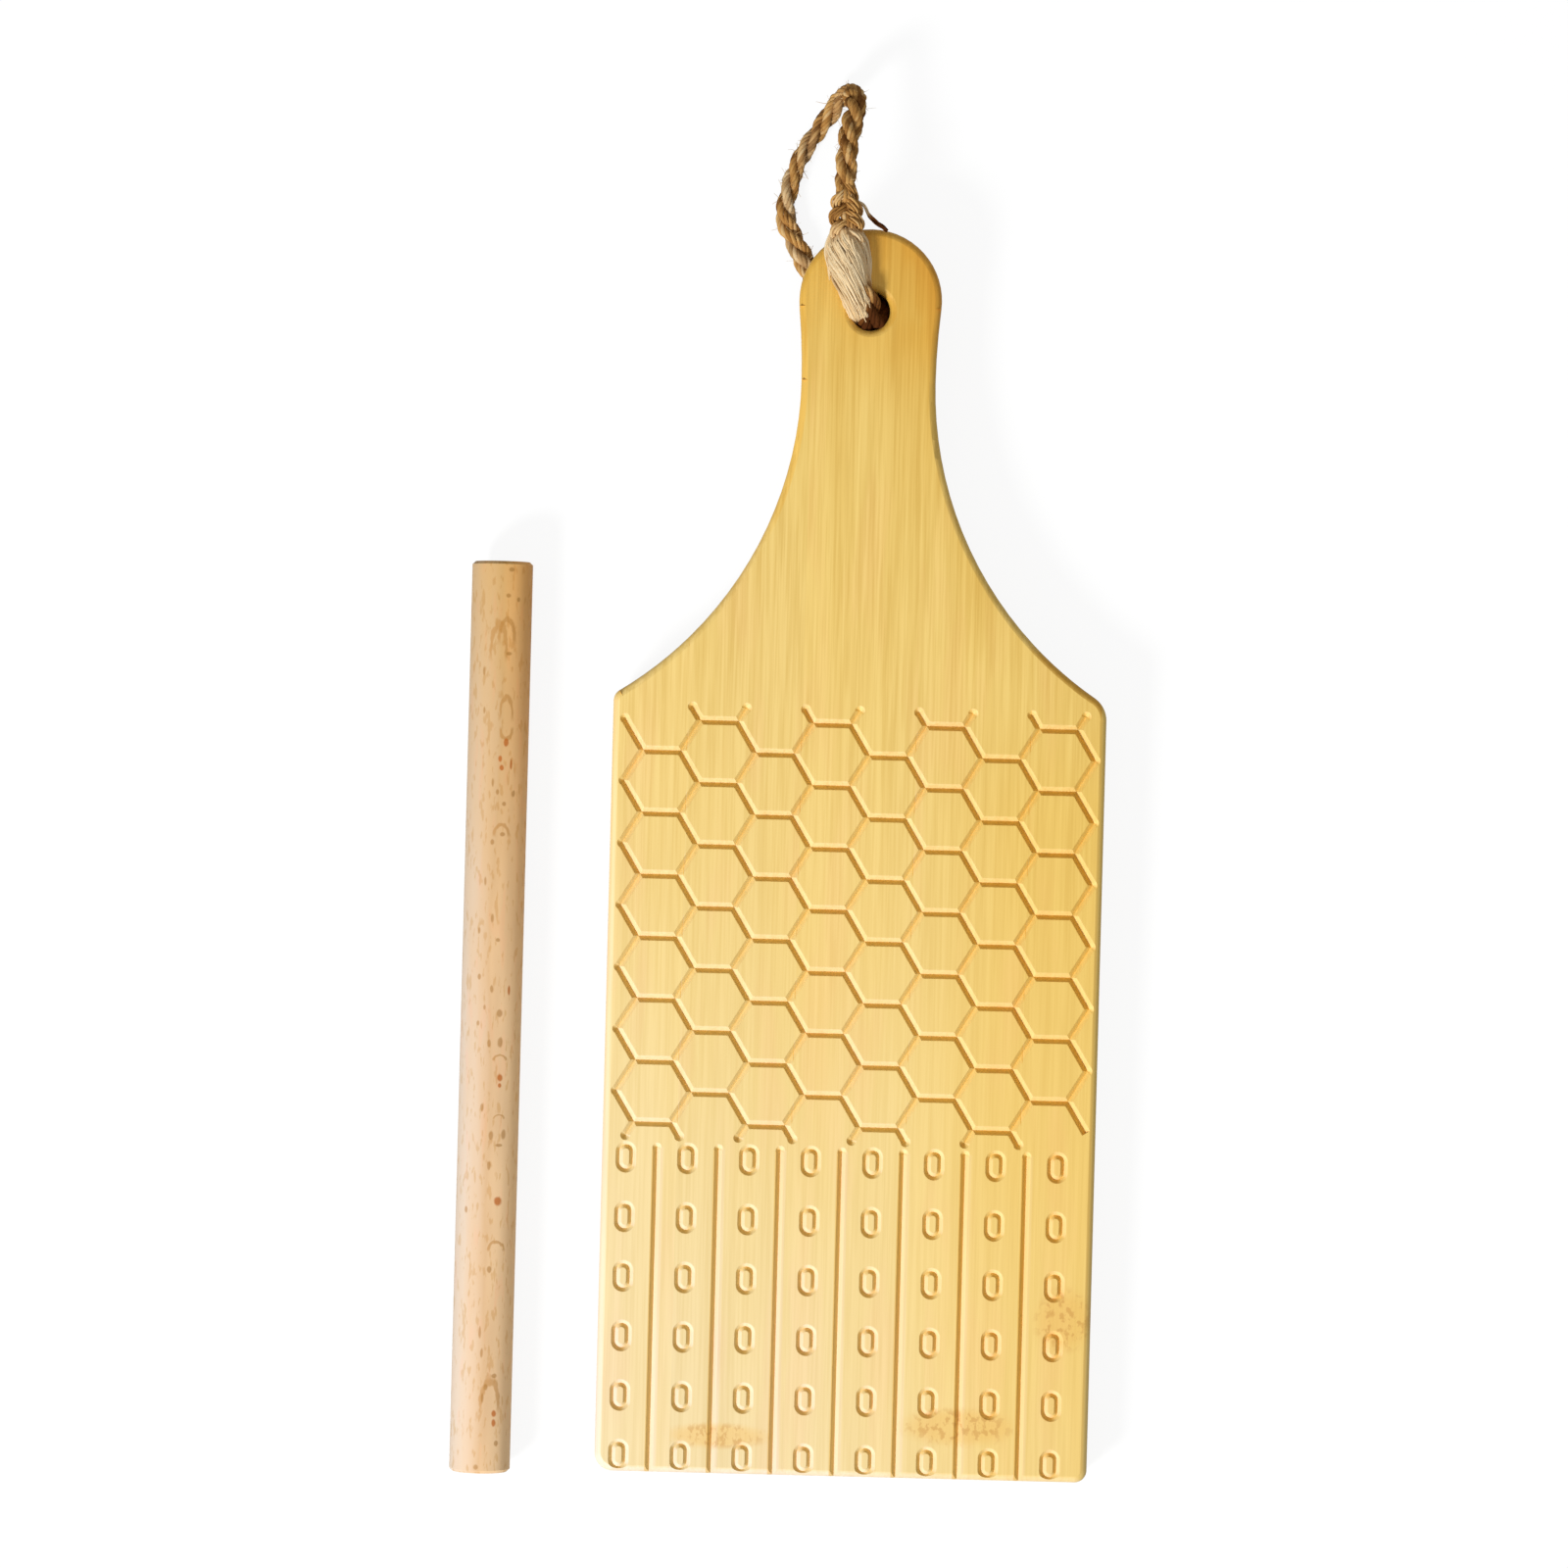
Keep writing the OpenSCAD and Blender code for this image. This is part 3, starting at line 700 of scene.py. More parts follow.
    def material(self) -> bpy.types.Material:
        """Build the dowel's material, the marks laid over the grain one after another.

        Returns:
            The material.
        """
        graph = self.begin()
        place = graph.add("ShaderNodeTexCoord").outputs["Object"]
        values = {"Position": place, "Middle": self.middle * MM, "Seed": self.seed}
        grain = graph.add("ShaderNodeGroup", values, node_tree=BeechGrain.shared())
        color = grain.outputs["Color"]
        for kind, side, y, half_width, half_height in self.marks:
            output, code, strength = kind.value
            centre = metres(self.middle + side, y, self.mark_height)
            reach = metres(half_width, half_height, self.mark_depth)
            oval = {"Position": place, "Centre": centre, "Reach": reach}
            mask = graph.add("ShaderNodeGroup", oval, node_tree=OvalMark.shared())
            color = graph.mix(graph.times(mask.outputs[output], strength), color, srgb(code))
        return self.close(graph, grain, color)


@dataclass(frozen=True)
class JuteFinish(Finish):
    """Twisted or frayed jute, coloured from the yarns' own attributes."""

    specular: float = 0.1
    bump_strength: float = 0.6

    def material(self) -> bpy.types.Material:
        """Build the twine's material.

        Returns:
            The material.
        """
        graph = self.begin()
        values = {"Strand": graph.add("ShaderNodeUVMap", uv_map=YarnMesh.UV).outputs[0]}
        for label in YarnMesh.MASKS:
            mask = graph.add("ShaderNodeAttribute", attribute_name=label.lower())
            values[label] = mask.outputs["Fac"]
        grain = graph.add("ShaderNodeGroup", values, node_tree=JuteFibres.shared())
        return self.close(graph, grain)


class Twist(Enum):
    """Which way a cord's plies turn as it runs away from the eye."""

    S = -1.0
    Z = 1.0


@dataclass
class Path:
    """A smooth line through a few points, with a frame of three unit vectors at each sample."""

    points: Array
    tangent: Array
    normal: Array
    side: Array
    length: Array

    @classmethod
    def through(cls, route: tuple[Point, ...], step: float, up: Array) -> "Path":
        """Sample a cubic curve through a route given in millimetres.

        Between two points p and q with slopes m and n, at the share u of the chord h:
        (2u^3-3u^2+1) p + (u^3-2u^2+u) h m + (3u^2-2u^3) q + (u^3-u^2) h n.

        Args:
            route: The points, in millimetres.
            step: Spacing of the samples, in metres.
            up: A direction never parallel to the line, which the normals lean towards.

        Returns:
            The sampled line, in metres.
        """
        p = np.array(route) * MM
        knots = run_along(p)
        slope = np.gradient(p, knots, axis=0)
        at = np.linspace(0.0, knots[-1], max(int(knots[-1] / step), 3))
        i = np.clip(np.searchsorted(knots, at, side="right") - 1, 0, len(p) - 2)
        h = (knots[i + 1] - knots[i])[:, None]
        u = (at - knots[i])[:, None] / h
        points = (2 * u**3 - 3 * u**2 + 1) * p[i] + (u**3 - 2 * u**2 + u) * h * slope[i]
        points = points + (3 * u**2 - 2 * u**3) * p[i + 1] + (u**3 - u**2) * h * slope[i + 1]
        return cls.along(points, up)

    @classmethod
    def along(cls, points: Array, up: Array) -> "Path":
        """Put frames on a line that is already sampled.

        Args:
            points: Samples, one row each.
            up: A direction never parallel to the line.

        Returns:
            The line with its frames.
        """
        tangent = unit(np.gradient(points, axis=0))
        normal = unit(up - (tangent @ up)[:, None] * tangent)
        return cls(points, tangent, normal, np.cross(tangent, normal), run_along(points))


@dataclass
class YarnMesh:
    """Many closed tubes in one mesh, with a UV map along them and a few masks on their vertices."""

    UV = "strand"
    MASKS = ("Tone", "Pale", "Painted Shade")
    SLOPE_SHARE = 0.2

    sides: int = 6

    def tubes(self, lines: Array, radius: Array) -> Array:
        """Carry a round section along many lines at once.

        Ring point = line + r (cos a n1 + sin a n2), where n1 and n2 are square to the line's
        slope and come from the world axis that the line's chord follows least.

        Args:
            lines: Centre lines, tubes by samples by 3.
            radius: Radius at each sample, tubes by samples.

        Returns:
            Ring points, tubes by samples by sides by 3.
        """
        slope = unit(np.gradient(lines, axis=1))
        # A line that comes back to its start has no chord, so a little of its slopes is added.
        chord = np.abs(lines[:, -1] - lines[:, 0]) + self.SLOPE_SHARE * np.abs(slope).mean(axis=1) * MM
        up = np.eye(3)[np.argmin(chord, axis=1)][:, None, :]
        first = unit(up - (slope * up).sum(-1, keepdims=True) * slope)
        second = np.cross(slope, first)
        angle = (np.arange(self.sides) + 0.5) * 2 * math.pi / self.sides
        ring = np.cos(angle)[:, None] * first[:, :, None] + np.sin(angle)[:, None] * second[:, :, None]
        return lines[:, :, None] + radius[:, :, None, None] * ring

    def build(self, name: str, rings: Array, masks: dict[str, Array]) -> bpy.types.Object:
        """Make one object of all the tubes.

        Args:
            name: The piece's name.
            rings: Ring points, tubes by samples by sides by 3.
            masks: Values of Tone, Pale and Deep, which fit an array of tubes by samples.

        Returns:
            The object, linked to the scene.
        """
        tubes, samples, sides, _ = rings.shape
        index = np.arange(tubes * samples * sides).reshape(tubes, samples, sides)
        turn = np.roll(index, -1, axis=2)
        quads = np.stack([index[:, :-1], turn[:, :-1], turn[:, 1:], index[:, 1:]], axis=-1).reshape(-1, 4)
        caps = np.concatenate([index[:, 0, ::-1], index[:, -1]])
        mesh = bpy.data.meshes.new(name)
        mesh.from_pydata(rings.reshape(-1, 3).tolist(), [], quads.tolist() + caps.tolist())
        mesh.polygons.foreach_set("use_smooth", np.ones(len(quads) + len(caps), dtype=bool))
        mesh.uv_layers.new(name=self.UV).data.foreach_set("uv", self.strand_uv(rings, len(caps)).ravel())
        for label in self.MASKS:
            values = np.repeat(np.broadcast_to(masks[label], (tubes, samples)), sides)
            attribute = mesh.attributes.new(label.lower(), "FLOAT", "POINT")
            attribute.data.foreach_set("value", values.astype(np.float32))
        mesh.update()
        return place_in_scene(name, mesh)

    def strand_uv(self, rings: Array, cap_count: int) -> Array:
        """Lay the UV map: U is the share of the way round, V the metres along.

        Args:
            rings: Ring points, tubes by samples by sides by 3.
            cap_count: Number of end caps, which follow the quads.

        Returns:
            One row for each corner of each face.
        """
        tubes, samples, sides, _ = rings.shape
        steps = np.linalg.norm(np.diff(rings.mean(axis=2), axis=1), axis=-1)
        run = np.concatenate([np.zeros((tubes, 1)), np.cumsum(steps, axis=1)], axis=1)
        shape = (tubes, samples - 1, sides)
        low = np.broadcast_to(run[:, :-1, None], shape)
        high = np.broadcast_to(run[:, 1:, None], shape)
        left = np.broadcast_to(np.arange(sides) / sides, shape)
        right = left + 1.0 / sides
        corners = np.stack([left, low, right, low, right, high, left, high], axis=-1).reshape(-1, 2)
        return np.concatenate([corners, np.zeros((cap_count * sides, 2))])


def run_along(points: Array) -> Array:
    """Measure a line of points.

    Args:
        points: One row each.

    Returns:
        The way from the first point to each one.
    """
    steps = np.linalg.norm(np.diff(points, axis=0), axis=1)
    return np.concatenate([[0.0], np.cumsum(steps)])


def place_in_scene(name: str, data: bpy.types.ID) -> bpy.types.Object:
    """Link a new object to the scene.

    Args:
        name: The object's name.
        data: Its mesh, lamp or camera.

    Returns:
        The object, at the origin.
    """
    thing = bpy.data.objects.new(name, data)
    bpy.context.scene.collection.objects.link(thing)
    return thing


def wear(piece: bpy.types.Object, material: bpy.types.Material) -> None:
    """Put a material on all of a piece.

    Args:
        piece: A CAD node or a new piece.
        material: Its finish.
    """
    piece.data.materials.clear()
    piece.data.materials.append(material)


@dataclass
class Paddle:
    """The laminated bamboo board: five face staves and five back staves, counted from the left."""

    face_tones: tuple[float, ...] = (1.01, 0.985, 1.0, 0.99, 0.985)
    back_tones: tuple[float, ...] = (0.98, 1.0, 0.97, 0.99, 0.98)
    face_marks: tuple[NodeMark, ...] = (
        NodeMark(),
        NodeMark((-8.5, -95.8), (8.2, 2.0), 1.0),
        NodeMark(),
        NodeMark((31.2, -93.4), (9.0, 3.0), 1.0),
        NodeMark((48.0, -75.4), (4.6, 5.0), 1.0),
    )

    def dress(self, nodes: dict[str, bpy.types.Object]) -> None:
        """Give every stave its own bamboo.

        Args:
            nodes: The CAD nodes by name.
        """
        for number, (tone, mark) in enumerate(zip(self.face_tones, self.face_marks), start=1):
            face = BambooFinish(f"bamboo_face_{number}", seed=3.7 * number, tone=tone, mark=mark)
            wear(nodes[f"face_stave_{number}"], face.material())
        for number, tone in enumerate(self.back_tones, start=1):
            back = BambooFinish(f"bamboo_back_{number}", seed=40.0 + 5.3 * number, tone=tone)
            wear(nodes[f"back_stave_{number}"], back.material())
        LOG.info("paddle: ten staves dressed in bamboo")


@dataclass
class RollingDowel:
    """The loose beech dowel."""

    finish: BeechFinish = BeechFinish(name="plain_beech", specular=0.2)

    def dress(self, nodes: dict[str, bpy.types.Object]) -> None:
        """Give the dowel its beech.

        Args:
            nodes: The CAD nodes by name.
        """
        wear(nodes["rolling_dowel"], self.finish.material())
        LOG.info("dowel: dressed in beech")


@dataclass(frozen=True)
class Stretch:
    """A run of a line, between low and high, where a value is raised by an amount."""

    amount: float
    low: float
    high: float
    soft: float = 1.5

    def at(self, place: Array) -> Array:
        """Work out amount / (1 + exp(-(place - low) / soft)) / (1 + exp((place - high) / soft)).

        Args:
            place: Places along the line, in the unit of low and high.

        Returns:
            What is added there.
        """
        begun = 1.0 / (1.0 + np.exp(-(place - self.low) / self.soft))
        return self.amount * (begun / (1.0 + np.exp((place - self.high) / self.soft)))


def raised(place: Array, value: Any, stretches: tuple[Stretch, ...]) -> Array:
    """Raise a value on some stretches of a line.

    Args:
        place: Places along the line.
        value: A number or an array that fits the places.
        stretches: Where the value changes, and by how much.

    Returns:
        The value at each place.
    """
    for stretch in stretches:
        value = value + stretch.at(place)
    return value


@dataclass(frozen=True)
class Plait:
    """The knot, in millimetres: strands that are plaited along a line from start to start + run.

    Widths and swells each hold shares of the way and the values there.
    """

    start: Point = (7.35, 109.8, 14.5)
    run: Point = (0.5, -9.2, 0.0)
    arch: float = 0.5
    height: float = 0.85
    strands: int = 3
    turns: float = 1.25
    samples: int = 46
    widths: tuple[tuple[float, ...], ...] = ((0.0, 0.3, 0.65, 1.0), (0.5, 1.5, 2.15, 2.0))
    swells: tuple[tuple[float, ...], ...] = ((0.0, 0.3, 1.0), (0.5, 0.62, 0.6))

    def line(self, number: int, t: Array) -> Array:
        """Lay one strand.

        With a = 2 pi (turns t + number / strands) it is across by width sin a, and up by
        arch sin(pi t) + height sin 2a, from start + t run.

        Args:
            number: Which strand, from 0.
            t: Shares of the way.

        Returns:
            The points, in millimetres.
        """
        a = 2 * math.pi * (self.turns * t + number / self.strands)
        points = np.array(self.start) + t[:, None] * np.array(self.run)
        points[:, 0] += np.interp(t, *self.widths) * np.sin(a)
        points[:, 2] += self.arch * np.sin(math.pi * t)
        points[:, 2] += self.height * np.sin(2 * a)
        return points


@dataclass(frozen=True)
class Sheaf:
    """The frayed end, in millimetres, its outline given at the stops, which are shares of the way."""

    stops: tuple[float, ...] = (0.0, 0.14, 0.33, 0.53, 0.72, 0.88, 1.0)
    middle_x: tuple[float, ...] = (7.9, 7.8, 8.2, 8.8, 9.7, 10.6, 11.1)
    middle_y: tuple[float, ...] = (102.6, 100.4, 97.5, 94.4, 91.2, 88.4, 86.9)
    half_width: tuple[float, ...] = (1.7, 3.1, 3.1, 2.75, 2.2, 1.9, 1.6)
    height: tuple[float, ...] = (3.0, 3.5, 3.4, 3.3, 2.7, 1.3, 0.5)
    crossing_height: tuple[float, ...] = (3.0, 3.5, 3.4, 3.3, 2.7, 1.0, 0.0)
    base: tuple[float, ...] = (12.9, 12.9, 12.9, 12.9, 12.8, 11.6, 8.5)
    crossing_base: float = 13.1
    lock_count: int = 13
    lock_fibres: int = 22
    stray_count: int = 44
    crossing_count: int = 40
    samples: int = 30
    sides: int = 5
    radii: tuple[float, float] = (0.13, 0.27)
    loose_share: float = 0.6
    loose_tone: float = 0.2
    lock_tones: tuple[float, float] = (-0.15, 0.3)
    tones: tuple[float, float] = (0.25, 0.8)

    def at(self, share: Array, sizes: tuple[float, ...]) -> Array:
        """Return a size at some shares of the way."""
        return np.interp(share, self.stops, sizes)

    def locks(self, rng: np.random.Generator, v: Array) -> tuple[Array, Array]:
        """Lay the fibres that hang in locks round the sheaf.

        A fibre starts at the angle a0. At the share t of the way its angle is
        a = a0 + 1.7 t + 0.25 sin(5 t + a0), and it is across by half width r sin a and a ripple
        from the sheaf's middle, along by 0.35 r sin a and up by height r max(cos a, 0), with r
        its own distance. Its a0 and r stay near those of its lock.

        Args:
            rng: Source of the random numbers.
            v: Shares of a fibre's own length.

        Returns:
            Points in millimetres, fibres by samples by 3, and the share t of each.
        """
        count = self.lock_count * self.lock_fibres
        t = v * rng.uniform(0.82, 1.0, (count, 1))
        lock_angle = np.arange(self.lock_count) + rng.uniform(-0.3, 0.3, self.lock_count)
        lock_angle = lock_angle * 2 * math.pi / self.lock_count
        start = np.repeat(lock_angle, self.lock_fibres)[:, None] + rng.normal(0, 0.24, (count, 1))
        lock_reach = np.repeat(rng.uniform(0.8, 1.12, self.lock_count), self.lock_fibres)[:, None]
        r = lock_reach * rng.uniform(0.86, 1.04, (count, 1))
        a = start + 1.7 * t + 0.25 * np.sin(5.0 * t + start)
        ripple = 0.17 * np.sin(11.0 * t + rng.uniform(0, 2 * math.pi, (count, 1)))
        x = self.at(t, self.middle_x) + self.at(t, self.half_width) * r * np.sin(a) + ripple
        y = self.at(t, self.middle_y) + 0.35 * r * np.sin(a)
        lift = self.at(t, self.height) * np.clip(r, 0.0, 1.04) * np.maximum(np.cos(a), 0.0)
        return np.stack([x, y, self.at(t, self.base) + lift], axis=-1), t

    def strays(self, rng: np.random.Generator, v: Array) -> tuple[Array, Array]:
        """Lay the fibres that hang apart, to the left of the sheaf.

        At the share w of the way and with the lean l, a fibre is at
        x = 6 - 2.4 sin(2.4 w) (0.5 + 0.5 l) + 1.6 w^2 l, y = 103.3 - 9.5 w + 1.5 l w and
        z = 14.6 - 1.4 w^0.7 + 0.3 l.

        Args:
            rng: Source of the random numbers.
            v: Shares of a fibre's own length.

        Returns:
            Points in millimetres, fibres by samples by 3, and half the share w of each.
        """
        w = v * rng.uniform(0.6, 1.0, (self.stray_count, 1))
        lean = rng.uniform(0.0, 1.0, (self.stray_count, 1))
        x = 6.0 - 2.4 * np.sin(2.4 * w) * (0.5 + 0.5 * lean) + 1.6 * w**2 * lean
        y = 103.3 - 9.5 * w + 1.5 * lean * w
        z = 14.6 - 1.4 * w**0.7 + 0.3 * lean
        return np.stack([x, y, z], axis=-1), 0.5 * w

    def crossings(self, rng: np.random.Generator, v: Array) -> tuple[Array, Array]:
        """Lay the fibres that run across the others on the sheaf's surface.

        At the share g of the way and the share q of the half width, a fibre is across by
        half width q, along by 0.3 q and up by crossing height sqrt(1.08 - q^2).

        Args:
            rng: Source of the random numbers.
            v: Shares of a fibre's own length.

        Returns:
            Points in millimetres, fibres by samples by 3, and half the share g of each.
        """
        size = (self.crossing_count, 1)
        g = rng.uniform(0.05, 0.5, size) + v * rng.uniform(0.25, 0.5, size)
        q = np.clip(rng.uniform(-0.95, 0.3, size) + v * rng.uniform(0.3, 1.0, size), -1.04, 1.04)
        x = self.at(g, self.middle_x) + q * self.at(g, self.half_width)
        y = self.at(g, self.middle_y) + 0.3 * q
        lift = self.at(g, self.crossing_height) * np.sqrt(np.clip(1.08 - q**2, 0.0, 1.1))
        return np.stack([x, y, self.crossing_base + lift], axis=-1), 0.5 * g


@dataclass(frozen=True)
class Fuzz:
    """The loose fibres that stand off the loop: how many, where, and the ranges of their sizes."""

    count: int = 300
    root: float = 1.25 * MM
    end: float = 58.0 * MM
    least_height: float = 0.08 * MM
    samples: int = 7
    sides: int = 3
    bend: float = 0.5
    leans: tuple[float, float] = (0.15, 0.7)
    lengths: tuple[float, float] = (0.8, 2.3)
    radii: tuple[float, float] = (0.03, 0.07)
    tones: tuple[float, float] = (0.35, 1.0)
    pales: tuple[float, float] = (0.1, 0.6)


@dataclass
class HangingTwine:
    """The loop of jute twine through the handle, with its knot and its two loose ends.

    Routes and the stretches of the loop are in millimetres, the stretches counted from the knot.
    """

    diameter: float = 3.2 * MM
    pitch: float = 11.0 * MM
    ply_count: int = 3
    loop_yarns: int = 7
    knot_yarns: int = 5
    short_yarns: int = 3
    ply_offset: float = 0.8 * MM
    yarn_offset: float = 0.5 * MM
    yarn_radius: float = 0.34 * MM
    yarn_turns: float = -1.6
    uneven: tuple[float, float] = (0.85, 1.15)
    wander: float = 0.18
    wander_run: float = 6.5 * MM
    wander_phase: float = 2.1
    slack: float = 0.12
    slack_run: float = 2.3 * MM
    slack_phase: float = 6.3
    step: float = 0.3 * MM
    twist: Twist = Twist.S
    exit_at: Point = (0.012, 0.0896, 0.0125)
    seed: int = 11
    plait: Plait = Plait()
    sheaf: Sheaf = Sheaf()
    fuzz: Fuzz = Fuzz()
    loop_tones: tuple[float, float] = (0.12, 0.88)
    knot_tones: tuple[float, float] = (0.25, 0.85)
    swell: float = 0.94
    swells: tuple[Stretch, ...] = (
        Stretch(0.22, -5.0, 20.0),
        Stretch(0.12, 20.0, 30.0),
        Stretch(0.2, 47.0, 59.0),
        Stretch(0.86, 72.3, 80.9, 0.5),
    )
    # Painted shade: from 62 to 84.5 mm, where the loop runs through the hole, its tone drops and its third
    # mask rises. From 8 to 24 mm it is also a little darker.
    shades: tuple[Stretch, ...] = (Stretch(-0.6, 62.0, 84.5, 0.8), Stretch(-0.08, 8.0, 24.0))
    painted_shade_in_hole: Stretch = Stretch(0.95, 62.0, 84.5, 0.8)
    pale: float = 0.06
    pale_first_ply: Stretch = Stretch(0.6, 36.0, 62.0)
    pale_second_ply: Stretch = Stretch(0.25, 24.0, 40.0)
    pale_end: Stretch = Stretch(0.8, 87.0, 95.5, 0.5)
    short_route: tuple[Point, ...] = (
        (8.6, 107.4, 14.6), (10.2, 106.6, 14.5), (11.6, 104.6, 14.2), (14.4, 102.4, 14.0),
    )
    loop_route: tuple[Point, ...] = (
        (7.6, 105.7, 14.4), (7.4, 109.4, 14.3), (7.4, 112.9, 14.1), (7.6, 116.4, 13.8),
        (8.1, 119.7, 13.1), (8.6, 122.3, 12.0), (8.7, 124.3, 10.0), (8.1, 125.5, 7.8),
        (7.1, 125.6, 5.5), (6.0, 124.5, 3.7), (4.6, 122.6, 2.4), (2.9, 120.3, 1.8),
        (1.2, 117.7, 1.65), (-0.2, 115.0, 1.6), (-1.3, 112.1, 1.6), (-2.0, 109.1, 1.6),
        (-2.4, 106.2, 1.6), (-1.8, 103.7, 1.6), (-0.6, 101.4, 1.6), (0.6, 98.9, 1.6),
        (1.5, 96.5, 1.6), (2.9, 94.2, 1.6), (5.1, 92.3, 1.6), (7.9, 91.3, 1.7), (10.6, 90.9, 2.5),
        (12.9, 90.5, 4.6), (12.75, 89.4, 7.6), (12.2, 88.4, 10.4), (12.1, 90.4, 13.0),
        (10.4, 93.8, 14.3), (9.2, 97.3, 14.5), (8.3, 101.3, 14.6), (7.7, 105.0, 14.5),
    )
    finishes: dict[str, bpy.types.Material] = field(default_factory=dict)

    def strand(self, path: Path, swell: Array, yarns: int) -> tuple[Array, Array, Array]:
        """Lay the yarns of a twisted cord round its line.

        Ply p turns by a = twist 2 pi s / pitch + 2 pi p / plies at the offset of the plies, and
        its yarns turn the other way round it: line + R (cos a N + sin a B) + r (cos b N + sin b B).
        Plies wander and yarns slacken a little, and the last yarn of each ply is its core.

        Args:
            path: The cord's line.
            swell: Factor on the section at each sample.
            yarns: Number of yarns in a ply.

        Returns:
            Yarn lines, radii, and each sample's distance from the cord's line.
        """
        rng = np.random.default_rng(self.seed + self.ply_count * 100 + yarns)
        size = (self.ply_count * yarns, 1)
        ply, yarn = np.divmod(np.arange(self.ply_count * yarns)[:, None], yarns)
        s = path.length
        turn = self.twist.value * 2 * math.pi * s / self.pitch
        wander = self.wander * np.sin(s / self.wander_run + ply * self.wander_phase)
        ply_angle = turn + 2 * math.pi * ply / self.ply_count + wander
        yarn_angle = self.yarn_turns * turn + 2 * math.pi * yarn / max(yarns - 1, 1) + ply
        yarn_reach = np.where(yarn == yarns - 1, 0.0, self.yarn_offset) * rng.uniform(*self.uneven, size)
        phase = rng.uniform(0, self.slack_phase, size)
        slack = 1.0 + self.slack * np.sin(s / self.slack_run + phase)
        far = self.ply_offset * swell
        near = yarn_reach * slack * swell
        u = far * np.cos(ply_angle) + near * np.cos(yarn_angle)
        v = far * np.sin(ply_angle) + near * np.sin(yarn_angle)
        lines = path.points + u[..., None] * path.normal + v[..., None] * path.side
        radius = self.yarn_radius * rng.uniform(*self.uneven, size) * swell
        return lines, radius, np.hypot(u, v) / swell

    def crease(self, depth: Array, reach: float, strength: float) -> Array:
        """Return the painted shade in the creases: strength times reach - depth / (R + r / 2), kept from 0
        to 1.
        """
        return strength * np.clip(reach - depth / (self.ply_offset + 0.5 * self.yarn_offset), 0, 1)

    def finish_piece(
        self, name: str, lines: Array, radius: Array, masks: dict[str, Array], slot: str, sides: int = 6
    ) -> bpy.types.Object:
        """Build tubes, dress them in jute and let them ride the paddle.

        Args:
            name: The piece's name.
            lines: Centre lines, tubes by samples by 3.
            radius: Radii, tubes by samples.
            masks: Tone for lighter or darker yarns, with painted shade on the loop's run through the hole,
                Pale for the share of bleaching, and the third for painted shade in creases and hollows.
            slot: The key of the shared jute finish, whose material is named after it with _yarn.
            sides: Sides of a tube.

        Returns:
            The piece.
        """
        yarns = YarnMesh(sides)
        piece = yarns.build(name, yarns.tubes(lines, radius), masks)
        if slot not in self.finishes:
            self.finishes[slot] = JuteFinish(name=slot + "_yarn").material()
        wear(piece, self.finishes[slot])
        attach(piece, PADDLE)
        LOG.info("%s: %d tubes", name, len(lines))
        return piece

    def make_loop(self) -> tuple[bpy.types.Object, Path]:
        """Build the loop of three plies, its normals leaning to that of the area which it goes round.

        Returns:
            The piece and the line that it follows.
        """
        route = np.array(self.loop_route)
        area = np.cross(route, np.roll(route, -1, axis=0)).sum(axis=0)
        path = Path.through(self.loop_route, self.step, unit(area))
        s = path.length / MM
        swell = raised(s, self.swell, self.swells)
        lines, radius, depth = self.strand(path, swell, self.loop_yarns)
        # No yarn goes below the table top.
        lines[..., 2] = np.maximum(lines[..., 2], 1.05 * radius)
        rng = np.random.default_rng(self.seed)
        ply = np.arange(len(lines))[:, None] // self.loop_yarns
        tone = rng.uniform(*self.loop_tones, (len(lines), 1)) + 0.16 * np.sin(s / 3.1 + 2.3 * ply)
        pale = self.pale + self.pale_first_ply.at(s) * (ply == 0) + self.pale_end.at(s)
        # Painted shade: the third mask shades the creases between plies and the run through the hole.
        masks = {
            "Tone": raised(s, tone, self.shades),
            "Pale": pale + self.pale_second_ply.at(s) * (ply == 1),
            "Painted Shade": np.maximum(self.crease(depth, 1.3, 0.72), self.painted_shade_in_hole.at(s)),
        }
        piece = self.finish_piece("twine_loop", lines, radius, masks, "jute")
        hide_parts("cord_loop")
        return piece, path

    def make_knot(self) -> bpy.types.Object:
        """Build the knot: three strands plaited round the meeting ends of the loop.

        Returns:
            The piece.
        """
        t = np.linspace(0.0, 1.0, self.plait.samples)
        swell = np.interp(t, *self.plait.swells)
        parts = []
        for number in range(self.plait.strands):
            path = Path.along(self.plait.line(number, t) * MM, np.array(UP))
            parts.append(self.strand(path, swell, self.knot_yarns))
        lines, radius, depth = (np.concatenate(group) for group in zip(*parts))
        rng = np.random.default_rng(self.seed + 1)
        # The third mask is painted shade in the knot's creases.
        masks = {
            "Tone": rng.uniform(*self.knot_tones, (len(lines), 1)) + 0.1 * np.sin(9.0 * t),
            "Pale": self.pale + 0.75 * np.clip((t - 0.72) / 0.2, 0, 1),
            "Painted Shade": self.crease(depth, 1.2, 0.5),
        }
        piece = self.finish_piece("twine_knot", lines, radius, masks, "jute")
        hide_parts("cord_knot")
        return piece

    def make_short_tail(self) -> bpy.types.Object:
        """Build the short end: a few thin yarns, pale at the knot and dark at the tip.

        Returns:
            The piece.
        """
        path = Path.through(self.short_route, self.step, np.array(UP))
        share = path.length / path.length[-1]
        swell = raised(share, 0.2, (Stretch(0.12, 0.5, 0.93, 0.03),))
        lines, radius, _ = self.strand(path, swell, self.short_yarns)
        dark = Stretch(1.0, 0.5, 2.0, 0.03).at(share)
